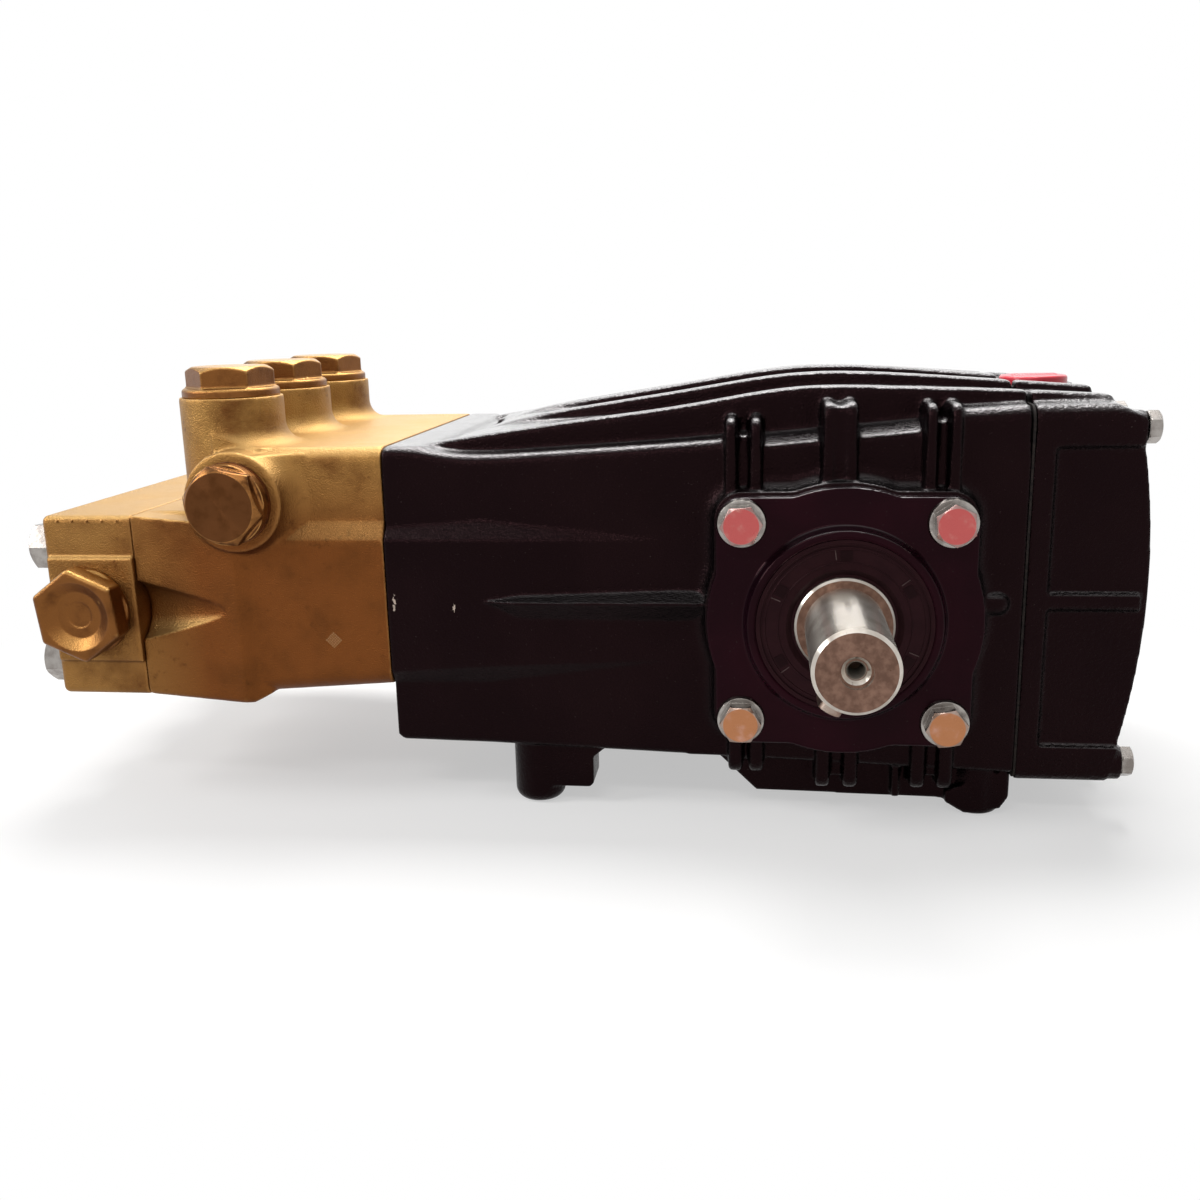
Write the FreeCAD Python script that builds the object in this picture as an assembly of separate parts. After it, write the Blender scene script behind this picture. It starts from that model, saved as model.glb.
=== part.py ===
import FreeCAD, Part
import math
import os

# High-pressure triplex plunger pump: a long cast crankcase with a forged brass head on its
# front end, a suction manifold bolted to the head, and a keyed crankshaft out of one side.
# The shapes are drawn about the crank axis: X runs along the pump from the head to the rear
# cover, Y is across it with the shaft on the -Y side, and Z is up. At the end every piece is
# moved so that the origin is the centre of the four feet, on the plane they stand on.
# All sizes are in millimetres.

# Feet and frame
foot_pitch_x = 169.5        # centre to centre of the feet along the pump
foot_pitch_y = 120.0        # and across it
front_foot_radius = 10.0
rear_foot_radius = 9.0
foot_edge_radius = 2.5
front_foot_edge_radius = 4.5
foot_web_reach = 12.7       # web beside a front foot
foot_web_width = 17.0
foot_web_lift = 7.2
foot_web_slope = 5.0        # slanted corner between the web and the case
foot_web_slope_low_z = -60.3
foot_gusset_reach = 12.2    # slanted web in front of a rear foot
foot_gusset_lift = 0.5      # its lowest part above the feet's plane
foot_gusset_rear_lift = 7.0
foot_hole_radius = 4.25     # tapping hole for a 10 mm thread
foot_hole_depth = 16.0
shaft_height = 80.0         # crank axis above the feet
rear_foot_x = 53.0          # rear feet behind the crank axis

# Crankcase
case_reach = 170.0          # from the crank axis to the joint with the brass head
case_rear_x = 64.2          # joint with the rear cover
case_half_width = 73.2
case_flare = 1.8            # how much wider each side is at the head
crease_share = -0.777       # where that flare begins
case_front_low_z = -52.6    # lower edge of the side wall at the front
case_rear_low_z = -61.0     # and at the rear
case_nose = 2.5             # corner cut off the front's lower edge
plate_z = 62.4              # flat plate over the joint with the head
lip_front_z = 62.4          # side wall's top line at that joint

# Places along the case are shares: -1 is the joint with the head, 0 the crank axis and 1 the
# joint with the rear cover.
# Top line of the side wall up to the raised shoulder at the rear
lip_share = (-0.959, -0.914, -0.869, -0.825, -0.781, -0.65, -0.52, -0.306, -0.172, -0.049, 0.118,
             0.419)
lip_z = (62.3, 61.4, 60.0, 59.2, 59.0, 59.9, 61.1, 63.4, 65.1, 66.7, 68.2, 70.0)
lip_end_z = 71.8
lip_rear_z = 75.0           # top of the shoulder at the joint with the cover
shoulder_front_x = 34.2
shoulder_front_z = 73.4
shoulder_root_z = 40.0
rear_edge_radius = 6.5      # long top edges of the shoulder and the cover
ledge_fall = 3.8            # slope of the ledge between the flange ribs
ledge_reach_x = 34.0        # how far before and behind the crank axis it runs
ledge_front_z = 64.6        # its inner edge at the two ends
ledge_rear_z = 70.2
lip_radius = 4.2
low_edge_radius = 2.4
ledge_width = 11.2          # how much narrower the upper body is on each side
upper_start_share = -0.91
upper_start_bow = 12.0      # the fins start further back in the middle than at the sides
crown_start_rise = 0.3
crown_share = (-0.78, -0.575, -0.326, -0.083, 0.222, 0.794, 1.0, 1.65)
crown_middle_z = (67.2, 74.4, 80.8, 86.0, 85.7, 82.6, 81.4, 77.8)  # fin tops in the middle
crown_side_z = (65.4, 69.6, 74.8, 80.7, 80.4, 79.2, 78.6, 76.0)    # fin tops at the sides
crown_root_z = 30.0
flare_end_share = -0.9    # where the front plate has narrowed to the upper body
fin_count = 5
fin_width = 9.0
fin_edge_radius = 1.5
fin_groove_depth = (0.4, 3.6, 5.2, 4.6, 4.0, 3.4, 3.2, 3.0)   # at each of crown_share
sump_inset = 8.2            # how much narrower the sump is on each side
sump_front_x = -45.2
sump_z = -73.4              # lowest part at its front
sump_rear_z = -75.2         # and at its rear
sump_chamfer = 14.8
sump_rear_rise = 3.0

# Side panels and ribs of the crankcase
panel_height = 5.4          # lower side panel over the wall, where it meets the head
panel_top_z = 35.3
panel_low_z = -31.3
panel_slope = 7.8           # height of the ledge over the panel
panel_low_slope = 8.0
panel_knee_share = -0.785   # the panel keeps its height up to here
panel_knee_low_z = -28.6
panel_tip_share = -0.374
panel_tip_top_z = 27.6
panel_tip_low_z = -19.4
side_rib_share = (-0.777, -0.7, -0.276)     # tip, end of the taper and end at the flange pad
side_rib_stand = (79.4, 82.4, 80.4)         # ridge's distance from the middle plane
side_rib_top_z = (4.9, 6.9, 8.2)
side_rib_ridge_z = (4.7, 4.9, 4.6)
side_rib_low_z = (4.3, -2.2, -2.6)
side_rib_root = 3.0         # how far the rib reaches into the wall
rear_rib_z = 4.2
rear_rib_radius = 4.0
rear_rib_reach = 10.0
flange_rib_width = 4.2
flange_rib_inset = 2.0      # from the flange's back to the ribs' front edge
flange_rib_low_inset = 5.0
flange_rib_pairs = ((-35.8, 8.8, 72.0), (-2.0, 8.2, 77.2), (33.4, 8.4, 76.2))  # x, pitch, top
low_rib_pairs = ((-34.4, 7.8, -62.5), (-0.6, 10.3, -68.0), (34.2, 9.9, -67.5))  # x, pitch, foot
low_rib_width = 5.5
flange_rib_nose = 5.0
flange_rib_web_inset = 4.5
sump_rib_x = 21.9
sump_rib_width = 3.0

# Flanges on both sides of the crankcase
flange_stand = 15.4         # from the side wall to the flange's outer face
flange_thickness = 7.0
flange_half_size = 45.2
flange_bulge_radius = 48.6
flange_corner_radius = 9.0
flange_bolt_pitch = 36.2
flange_arch_blend = 9.0
pad_margin = 1.0
pad_blend_radius = 6.0
pad_patch = 56.5            # half size of the flat wall that the pad blends into
pad_root = 6.0
spigot_radius = 36.0
spigot_depth = 8.0
seal_boss_radius = 35.7
seal_boss_height = 4.3
seal_boss_taper = 1.8
blind_recess_depth = 1.5

# Shaft, key and seal
journal_radius = 17.5
shaft_radius = 14.0
shaft_reach = 58.9          # shaft end beyond the flange face
journal_stand = 4.5         # journal's shoulder beyond the flange face
journal_depth = 26.0        # journal's length inside the wall and flange
shaft_chamfer = 1.2
journal_chamfer = 0.8
centre_hole_radius = 3.4    # tapping hole for an 8 mm thread
centre_hole_depth = 22.0
centre_recess_radius = 5.4
centre_recess_depth = 2.0
key_width = 8.0
key_length = 40.0
key_height = 7.0
key_depth = 4.0             # how far the key sits in the shaft
key_end_land = 5.0          # plain shaft in front of the key
key_angle = -117.0          # key's place round the shaft, in degrees from +X
running_gap = 0.05
seal_outer_radius = 31.0
seal_width = 8.0
seal_recess = 0.4
seal_lip_radius = 20.5
seal_lip_step = 1.6
seal_clear_bore = 20.0

# Bolts
clearance = 0.1
flange_bolt = {"thread": 4.0, "flats": 13.0, "head": 5.6, "rim": 8.9, "rim_thick": 1.6, "shank": 24.0}
cover_bolt = {"thread": 3.0, "flats": 10.0, "head": 4.0, "rim": 5.6, "rim_thick": 0.4, "shank": 50.0}
manifold_bolt = {"thread": 5.0, "flats": 17.0, "head": 8.4, "rim": 9.4, "rim_thick": 1.3, "shank": 62.0}
flange_bolt_turns = (4.0, 34.0, 0.0, 9.0)
cap_turns = (15.0, 8.0, 10.0)
manifold_bolt_turns = (34.0, 13.0)      # upper and lower row

# Rear cover
gasket_thickness = 0.8
gasket_inset = 0.5
cover_rim = 7.4             # full-width strip next to the gasket
cover_edge_x = 102.8        # where the bolts' heads sit
cover_stand = 6.4           # the middle of the rear face behind them
cover_dome = 2.0            # the rear face falls this much towards its sides
cover_curve_radius = 275.0  # and it is curved from top to bottom
cover_apex_z = 9.0
cover_low_z = -64.0
cover_panel_inset = 2.8     # recess in each side between the upper and lower bolts
cover_panel_top_z = 60.2
cover_panel_low_z = -50.1
cover_panel_edge = 2.0
cover_slope_x = 92.5        # the top slants down from here
cover_slope_end_x = 104.0
cover_slope_fall = 6.2
cover_fin_end_x = 93.3
cover_top_boss_radius = 6.2
cover_top_boss_drop = 2.6   # the upper bosses under the cover's top
cover_low_boss_radius = 6.6
spot_face_radius = 6.6      # clears a bolt's rim where the cover is domed
cover_inner_share = 0.395    # the inner bolts' place, as a share of the upper outer ones'
cover_rib_z = 4.6
cover_rib_width = 6.5
cover_rib_drop = 4.8        # its end before the rear face

# Oil cap, sight glass and drain
oil_cap_x = 78.4
oil_cap_radius = 13.0
oil_cap_height = 4.4
oil_cap_edge = 1.2
oil_cap_seat = 76.4
oil_cap_seat_radius = 14.0
oil_cap_stem_radius = 8.0
oil_cap_stem_depth = 12.0
oil_cap_grip = (17.0, 4.0, 0.6)
sight_radius = 15.0
sight_depth = 6.0
sight_stand = 2.0
sight_lens_radius = 10.5
sight_lens_depth = 2.0
sight_lens_thickness = 3.0
sight_z = -6.0
drain_z = -42.0
drain_flats = 16.0
drain_collar_radius = 9.5
drain_stem_radius = 7.0
drain_stem_depth = 10.0
drain_sink = 0.6            # the drain's seat under the rear face
drain_boss_radius = 12.0
drain_collar_height = 1.8
drain_head_height = 5.0

# Brass head
head_length = 98.2          # from the crankcase to the joint with the manifold
manifold_length = 36.7
head_top_z = 62.4
head_top_radius = 5.5
head_front_top_z = 38.0
head_low_z = -29.5          # neck's lower edge at the crankcase
head_low_drop = 4.0         # and how much lower it is at the valve block
head_low_radius = 7.0
head_ledge_radius = 3.0
block_low_z = -37.0
block_stand = 3.2           # valve block's side over the neck's side
block_length = 45.4
block_ridge = 5.6           # length of the slope from the block's side to the neck's
block_keel = 3.6            # the block's lowest edge before its rear end
block_edge_radius = 2.6
block_ridge_radius = 1.5
block_shoulder_z = 34.0
tower_setback = 65.3        # tower centres before the crankcase
gallery_reach = 0.6         # front of the high part before the towers' centres
tower_inset = 21.7          # outer towers' centres in from the neck's side
tower_radius = 19.75
tower_z = 80.8
tower_root = 12.0
tower_flare_radius = 8.0
delivery_setback = 55.7     # before the crankcase
delivery_z = 43.2
delivery_boss_radius = 19.0
delivery_boss_stand = 5.2   # boss face over the neck's side
delivery_flare_reach = 12.0
delivery_flare_rise = 8.0
delivery_port_radius = 9.3  # half-inch pipe thread, minor diameter
delivery_port_depth = 18.0
boss_root = 24.0
suction_inset = 17.0        # behind the manifold's front face
suction_z = 1.3
suction_pad_half_height = 20.7
suction_pad_stand = 5.2
suction_pad_inset = 1.5     # behind the manifold's front face
suction_port_radius = 12.1  # three-quarter-inch pipe thread, minor diameter
suction_port_depth = 20.0
pocket_z = 1.0
pocket_half_height = 12.6
pocket_end_half_height = 5.2
pocket_depth = 8.6
pocket_reach = 36.9         # behind the joint with the manifold
manifold_low_z = -33.5
manifold_edge_radius = 2.6
manifold_bolt_inset = 13.8
manifold_bolt_top_z = 24.0
manifold_bolt_low_z = -22.0

# Plugs and caps
cap_collar_radius = 18.5
cap_collar_height = 3.5
cap_collar_edge = 0.9
cap_flats = 29.5
cap_hex_height = 8.2
cap_plug_radius = 15.0
cap_plug_depth = 12.0
delivery_plug_flats = 27.0
delivery_plug_height = 5.2
delivery_plug_collar_radius = 15.2
delivery_plug_collar_height = 4.5
delivery_plug_turn = -13.0
delivery_plug_slope = 1.1   # its corners are turned down far, so the face looks round
delivery_washer_radius = 15.4
delivery_washer_thickness = 1.5
suction_plug_flats = 32.0
suction_plug_height = 9.0
suction_plug_edge = 2.0
suction_plug_turn = 36.0
suction_plug_collar_radius = 17.0
suction_plug_collar_height = 2.0
suction_bowl_radius = 13.6
suction_bowl_depth = 3.4
suction_bowl_taper = 4.6
suction_ring_radius = 5.3
plug_overlap = 0.1
plug_end_gap = 3.0
past = 40.0                 # how far a cutting tool runs past the piece it cuts

# Sizes that follow from the ones above
case_front_x = -case_reach
upper_half_width = case_half_width - ledge_width
sump_half_width = case_half_width - sump_inset
flange_face_y = case_half_width + flange_stand
flange_back_y = flange_face_y - flange_thickness
shaft_end_y = flange_face_y + shaft_reach
journal_end_y = flange_face_y + journal_stand
journal_inner_y = flange_back_y - journal_depth
head_upper_half = case_half_width + case_flare
head_lower_half = case_half_width + panel_height
block_half = head_lower_half + block_stand
head_split_x = case_front_x - head_length
head_front_x = head_split_x - manifold_length
block_rear_x = head_split_x + block_length
tower_x = case_front_x - tower_setback
tower_pitch = head_upper_half - tower_inset
delivery_x = case_front_x - delivery_setback
suction_x = head_front_x + suction_inset
pocket_end_x = head_split_x + pocket_reach
manifold_bolt_y = block_half - manifold_bolt_inset
gallery_front_x = tower_x - gallery_reach
delivery_boss_y = head_lower_half + delivery_boss_stand
suction_pad_y = head_lower_half + suction_pad_stand
cover_face_x = cover_edge_x + cover_stand
cover_top_y = case_half_width - cover_top_boss_radius
cover_low_y = case_half_width - cover_low_boss_radius
cover_inner_y = cover_top_y * cover_inner_share
cover_bolt_top_z = lip_rear_z - cover_top_boss_drop - cover_top_boss_radius
cover_bolt_low_z = cover_low_z + cover_low_boss_radius

X, Y, Z = FreeCAD.Vector(1, 0, 0), FreeCAD.Vector(0, 1, 0), FreeCAD.Vector(0, 0, 1)


def at(x, y, z):
    return FreeCAD.Vector(x, y, z)


def block(x0, x1, y0, y1, z0, z1):
    """A box between two corners."""
    return Part.makeBox(x1 - x0, y1 - y0, z1 - z0, at(x0, y0, z0))


def rod(centre, direction, radius, length):
    return Part.makeCylinder(radius, length, centre, direction)


def join(shapes):
    shapes = list(shapes)
    fused = shapes[0].fuse(shapes[1:]) if len(shapes) > 1 else shapes[0]
    return fused.removeSplitter()


def slab_y(points, y0, y1):
    """A straight-sided outline in X and Z, given thickness along Y."""
    wire = Part.makePolygon([at(x, y0, z) for x, z in points + points[:1]])
    return Part.Face(wire).extrude(at(0, y1 - y0, 0))


def curve_slab(top, low, y0, y1):
    """A solid under a smooth line of (x, z) points and over a straight line of them."""
    spline = Part.BSplineCurve()
    spline.interpolate([at(x, y0, z) for x, z in top])
    low_points = [at(x, y0, z) for x, z in low]
    outline = [at(top[-1][0], y0, top[-1][1])] + low_points + [at(top[0][0], y0, top[0][1])]
    edges = [spline.toShape()] + [Part.makeLine(a, b) for a, b in zip(outline, outline[1:])]
    return Part.Face(Part.Wire(edges)).extrude(at(0, y1 - y0, 0))


def prism_x(points, x0, x1):
    """A straight-sided outline in Y and Z, given length along X."""
    wire = Part.makePolygon([at(x0, y, z) for y, z in points + points[:1]])
    return Part.Face(wire).extrude(at(x1 - x0, 0, 0))


def runs_along(edge, axis):
    """True for a straight edge that is parallel to an axis."""
    if not isinstance(edge.Curve, Part.Line):
        return False
    return abs(edge.tangentAt(edge.FirstParameter).dot(axis)) > 0.999


def hexagon_bar(flats, height, turn):
    """A plain upright hexagonal bar on the plane at 0."""
    corner = flats / math.sqrt(3)
    angles = [math.radians(60 * i + turn) for i in range(7)]
    ring = [at(corner * math.cos(a), corner * math.sin(a), 0) for a in angles]
    return Part.Face(Part.makePolygon(ring)).extrude(at(0, 0, height))


def soft_hexagon(centre, direction, flats, height, turn, radius):
    """A forged hexagon along direction, rounded on its corners and on the edge of its face."""
    bar = hexagon_bar(flats, height, turn)
    bar = bar.makeFillet(radius, [e for e in bar.Edges if e.BoundBox.ZMax > height - 0.01])
    bar.Placement = FreeCAD.Placement(centre, FreeCAD.Rotation(Z, direction))
    return bar


def hexagon(centre, direction, flats, height, turn=0.0, slope=0.6):
    """A hexagonal bar along direction, with its outer corners turned down as on a bolt head."""
    bar = hexagon_bar(flats, height, turn)
    face_radius = flats * 0.475
    bar = bar.common(Part.makeCone(face_radius + height / slope, face_radius, height))
    bar.Placement = FreeCAD.Placement(centre, FreeCAD.Rotation(Z, direction))
    return bar


def bolt(seat, out, size, turn=0.0):
    """A hexagon bolt whose rim sits at seat, with its head along out and its shank behind."""
    head_start = seat + out * size["rim_thick"]
    rim = Part.makeCone(size["rim"], size["rim"] * 0.94, size["rim_thick"], seat, out)
    head = hexagon(head_start, out, size["flats"], size["head"], turn)
    return join([rod(seat, out * -1, size["thread"], size["shank"]), rim, head])


def bolt_hole(seat, out, size):
    """The hole that a bolt's shank passes through, with clearance all round."""
    return rod(seat + out * past, out * -1, size["thread"] + clearance, size["shank"] + past + clearance)


def flare(radius, reach, rise, root):
    """Concave ring round the foot of an upright round boss that stands on the plane at 0."""
    outer = radius + reach
    inner = radius - root
    bow = 1 - math.sqrt(0.5)
    arc = Part.Arc(at(outer, 0, 0), at(radius + reach * bow, 0, rise * bow), at(radius, 0, rise)).toShape()
    corners = [at(radius, 0, rise), at(inner, 0, rise), at(inner, 0, -root), at(outer, 0, -root),
               at(outer, 0, 0)]
    lines = [Part.makeLine(a, b) for a, b in zip(corners, corners[1:])]
    return Part.Face(Part.Wire([arc] + lines)).revolve(at(0, 0, 0), Z, 360)


# Flanges and what stands on them


def flange_plate(y_low, y_high, margin=0.0):
    """The square outline with arched sides, between two distances from the middle plane."""
    half = flange_half_size + margin
    square = block(-half, half, y_low, y_high, -half, half)
    corners = [e for e in square.Edges if runs_along(e, Y)]
    square = square.makeFillet(flange_corner_radius + margin, corners)
    disc = rod(at(0, y_low, 0), Y, flange_bulge_radius + margin, y_high - y_low)
    plate = square.fuse(disc).removeSplitter()
    reach = math.sqrt((flange_bulge_radius + margin) ** 2 - half ** 2)
    arch_feet = [e for e in plate.Edges
                 if runs_along(e, Y) and is_arch_foot(e.Vertexes[0].Point, half, reach)]
    return plate.makeFillet(flange_arch_blend - margin, arch_feet)


def is_arch_foot(point, half, reach):
    """True where an arched side meets the straight edge of the flange."""
    across = min(abs(point.x), abs(point.z))
    along = max(abs(point.x), abs(point.z))
    return abs(across - reach) < 0.05 and abs(along - half) < 0.05


def on_side(shape, side):
    """The same shape on the +Y side, or its mirror image on the -Y side."""
    return shape if side > 0 else shape.mirror(at(0, 0, 0), Y)


def flange_bolt_seats(side):
    return [at(sx * flange_bolt_pitch, side * flange_face_y, sz * flange_bolt_pitch)
            for sx, sz in ((-1, 1), (1, 1), (-1, -1), (1, -1))]


def flange_body(side):
    """One side flange: plate, spigot in the crankcase and raised round boss."""
    plate = flange_plate(flange_back_y, flange_face_y)
    spigot = rod(at(0, flange_back_y - spigot_depth, 0), Y, spigot_radius - clearance, spigot_depth + 1)
    boss = Part.makeCone(seal_boss_radius, seal_boss_radius - seal_boss_taper, seal_boss_height,
                         at(0, flange_face_y, 0), Y)
    body = on_side(join([plate, spigot, boss]), side)
    for seat in flange_bolt_seats(side):
        body = body.cut(bolt_hole(seat, Y * side, flange_bolt))
    return body


def drive_flange():
    body = flange_body(-1)
    face = flange_face_y + seal_boss_height
    seat = rod(at(0, -face - 1, 0), Y, seal_outer_radius, seal_width + seal_recess + 1)
    through = rod(at(0, -face, 0), Y, seal_clear_bore, past)
    return body.cut(seat).cut(through)


def blind_flange():
    """The closed flange on the far side, with a shallow turned recess in its boss."""
    face = flange_face_y + seal_boss_height
    recess = Part.makeCone(seal_outer_radius - blind_recess_depth, seal_outer_radius, blind_recess_depth,
                           at(0, face - blind_recess_depth, 0), Y)
    return flange_body(1).cut(recess)


def shaft_seal():
    """Rubber lip seal, seated in the flange boss, with a stepped face round the shaft."""
    face = flange_face_y + seal_boss_height - seal_recess
    start = at(0, -face, 0)
    body = rod(start, Y, seal_outer_radius, seal_width)
    ring_groove = rod(start, Y, seal_outer_radius - 1.6, 0.5).cut(
        rod(start, Y, seal_outer_radius - 2.4, 0.5))
    funnel = Part.makeCone(seal_lip_radius, journal_radius + 1, seal_lip_step, start, Y)
    bore = rod(start, Y, journal_radius + running_gap, seal_width)
    return body.cut(ring_groove).cut(funnel).cut(bore)


# Crankshaft and key


def crankshaft():
    journal = rod(at(0, -journal_end_y, 0), Y, journal_radius, journal_end_y - journal_inner_y)
    stub_length = shaft_end_y - journal_end_y
    stub = rod(at(0, -shaft_end_y, 0), Y, shaft_radius, stub_length + 1)
    end_edge = [e for e in stub.Edges if abs(e.BoundBox.Center.y + shaft_end_y) < 0.01]
    stub = stub.makeChamfer(shaft_chamfer, [e for e in end_edge if e.Length > shaft_radius])
    shoulder = [e for e in journal.Edges
                if abs(e.BoundBox.Center.y + journal_end_y) < 0.01 and e.Length > journal_radius]
    journal = journal.makeChamfer(journal_chamfer, shoulder)
    body = join([journal, stub])
    end = at(0, -shaft_end_y, 0)
    recess = rod(end, Y, centre_recess_radius, centre_recess_depth)
    hole = rod(end, Y, centre_hole_radius, centre_recess_depth + centre_hole_depth)
    cone = Part.makeCone(centre_hole_radius + 1.2, centre_hole_radius, 1.2,
                         at(0, -shaft_end_y + centre_recess_depth, 0), Y)
    return body.cut(recess).cut(hole).cut(cone).cut(key_shape(clearance))


def key_shape(grow=0.0):
    """A key with round ends, lying along the shaft and standing out of it."""
    half = key_width / 2
    start = key_end_land + half
    length = key_length - key_width
    base = shaft_radius - key_depth
    bar = block(base - grow / 2, base + key_height, 0, length, -half - grow / 2, half + grow / 2)
    ends = [rod(at(base - grow / 2, y, 0), X, half + grow / 2, key_height + grow / 2)
            for y in (0, length)]
    key = join([bar] + ends)
    turn = FreeCAD.Rotation(Y, -key_angle)
    key.Placement = FreeCAD.Placement(at(0, -shaft_end_y + start, 0), turn)
    return key


# Crankcase


def place(share):
    """X of a share of the case's length before the crank axis, or behind it."""
    return share * (case_reach if share < 0 else case_rear_x)


def lip_line():
    """Top line of the crankcase's side wall, from the head joint to the rear cover."""
    middle = [(place(share), z) for share, z in zip(lip_share, lip_z)]
    return [(case_front_x, lip_front_z)] + middle + [(case_rear_x, lip_end_z)]


def outer_long_edges(wall):
    """Long edges of the side wall on its outer faces."""
    return [e for e in wall.Edges if e.BoundBox.XLength > flange_corner_radius * 2
            and min(abs(v.Point.y) for v in e.Vertexes) > case_half_width - clearance]


def side_wall():
    """Main housing: its sides flare out a little towards the head."""
    flared = case_half_width + case_flare
    low_line = [(case_rear_x, case_rear_low_z), (case_front_x + case_nose, case_front_low_z),
                (case_front_x, case_front_low_z + case_nose)]
    wall = curve_slab(lip_line(), low_line, -flared, flared)
    plan = []
    for side in (1, -1):
        corners = [(case_front_x, flared), (place(crease_share), case_half_width),
                   (case_rear_x, case_half_width)]
        plan += [at(x, side * y, -past * 3) for x, y in (corners if side > 0 else corners[::-1])]
    wall = wall.common(Part.Face(Part.makePolygon(plan + plan[:1])).extrude(at(0, 0, past * 6)))
    wall = wall.makeFillet(lip_radius, [e for e in outer_long_edges(wall) if e.BoundBox.ZMin > 0])
    return wall.makeFillet(low_edge_radius, [e for e in outer_long_edges(wall)
                                             if e.BoundBox.ZMax < case_front_low_z + case_nose / 2])


def shoulder():
    """Raised rear end of the side walls, next to the cover."""
    body = slab_y([(shoulder_front_x, shoulder_root_z), (case_rear_x, shoulder_root_z),
                   (case_rear_x, lip_rear_z), (shoulder_front_x, shoulder_front_z)],
                  -case_half_width, case_half_width)
    top = [e for e in body.Edges if e.BoundBox.XLength > rear_edge_radius and e.BoundBox.YLength < 0.01
           and e.BoundBox.ZMin > shoulder_root_z + 1]
    return body.makeFillet(rear_edge_radius, top)


def ledge_wedge(side):
    """What is cut off the ledge beside the upper body, so that it slants outwards."""
    sections = []
    outer = case_half_width + 1
    slant = ledge_fall / ledge_width
    for x, z in ((-ledge_reach_x, ledge_front_z), (ledge_reach_x, ledge_rear_z)):
        outline = [(upper_half_width, z), (outer, z - slant * (ledge_width + 1)), (outer, z + 5),
                   (upper_half_width, z + 5)]
        points = [at(x, side * y, height) for y, height in outline]
        sections.append(Part.makePolygon(points + points[:1]))
    return Part.makeLoft(sections, True, True)


def crown_line(y, groove=0.0):
    """Arched line along the top at a distance y from the middle, groove times lower."""
    weight = 1 - (abs(y) / upper_half_width) ** 2
    points = [(place(upper_start_share) + upper_start_bow * weight, plate_z + crown_start_rise)]
    for share, middle, edge, depth in zip(crown_share, crown_middle_z, crown_side_z, fin_groove_depth):
        if place(share) > points[-1][0] + upper_start_bow / 3:
            points.append((place(share), edge + (middle - edge) * weight - groove * depth))
    return points


def crown():
    """Long fins with channels between them, over the crankcase and the rear cover."""
    pitch = (2 * upper_half_width - fin_width) / (fin_count - 1)
    slabs = []
    for i in range(fin_count):
        start = -upper_half_width + pitch * i
        top = crown_line(start + fin_width / 2)
        root = [(top[-1][0], crown_root_z), (top[0][0], crown_root_z)]
        fin = curve_slab(top, root, start, start + fin_width)
        ridges = [e for e in fin.Edges if isinstance(e.Curve, Part.BSplineCurve)]
        slabs.append(fin.makeFillet(fin_edge_radius, ridges))
        if i < fin_count - 1:
            top = crown_line(start + (pitch + fin_width) / 2, 1.0)
            root = [(top[-1][0], crown_root_z), (top[0][0], crown_root_z)]
            slabs.append(curve_slab(top, root, start + fin_width, start + pitch))
    return join(slabs)


def upper_body():
    """The crown's part over the crankcase, with the flat plate at its front."""
    flared = case_half_width + case_flare - lip_radius
    inner = upper_half_width - fin_edge_radius
    corners = [(case_front_x, flared), (place(upper_start_share), flared), (place(flare_end_share), inner)]
    plan = [at(x, -y, crown_root_z) for x, y in corners]
    plan += [at(x, y, crown_root_z) for x, y in corners[::-1]]
    plate = Part.Face(Part.makePolygon(plan + plan[:1])).extrude(at(0, 0, plate_z - crown_root_z))
    return join([crown().common(block(case_front_x, case_rear_x, -past * 2, past * 2, 0, past * 3)), plate])


def sump():
    """Deeper body under the crank, recessed behind the side walls."""
    root = case_rear_low_z + 10
    return slab_y([(sump_front_x, root), (sump_front_x, case_rear_low_z + 2),
                   (sump_front_x + sump_chamfer, sump_z), (case_rear_x - sump_rear_rise, sump_rear_z),
                   (case_rear_x, sump_rear_z + sump_rear_rise), (case_rear_x, root)],
                  -sump_half_width, sump_half_width)


def foot_centres():
    return [(rear_foot_x - sx * foot_pitch_x, sy * foot_pitch_y / 2) for sx in (0, 1) for sy in (-1, 1)]


def feet():
    """Round feet, the front ones with a web towards the crank."""
    shapes = []
    for x, y in foot_centres():
        radius = rear_foot_radius if x > 0 else front_foot_radius
        boss = rod(at(x, y, -shaft_height), Z, radius, shaft_height - past)
        base = [e for e in boss.Edges if e.BoundBox.ZMax < -shaft_height + 0.01]
        shapes.append(boss.makeFillet(foot_edge_radius if x > 0 else front_foot_edge_radius, base))
        shapes.append(foot_web(x, y) if x < 0 else foot_gusset(x, y))
    return shapes


def foot_web(x, y):
    """Web from a front foot towards the crank, with a slanted corner under the case."""
    end = x + front_foot_radius + foot_web_reach
    low = -shaft_height + foot_web_lift
    web = slab_y([(x, low), (end, low), (end, foot_web_slope_low_z),
                  (end + foot_web_slope, foot_web_slope_low_z + foot_web_slope * 0.8),
                  (end + foot_web_slope, -past), (x, -past)],
                 y - foot_web_width / 2, y + foot_web_width / 2)
    corner = [e for e in web.Edges if runs_along(e, Y) and e.BoundBox.XMin > end - 0.01
              and e.BoundBox.ZMax < low + 0.01]
    return web.makeFillet(foot_edge_radius, corner)


def foot_gusset(x, y):
    """Web through a rear foot, slanted up to the sump before and behind it."""
    low = -shaft_height + foot_gusset_lift
    half = rear_foot_radius * 0.9
    return slab_y([(x - foot_gusset_reach, sump_z + sump_rear_rise), (x - foot_gusset_reach, sump_rear_z),
                   (x - half * 0.6, low), (x + half, low + foot_gusset_rear_lift * 0.3),
                   (case_rear_x, low + foot_gusset_rear_lift), (case_rear_x, case_rear_low_z)],
                  y - half, y + half)


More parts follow.
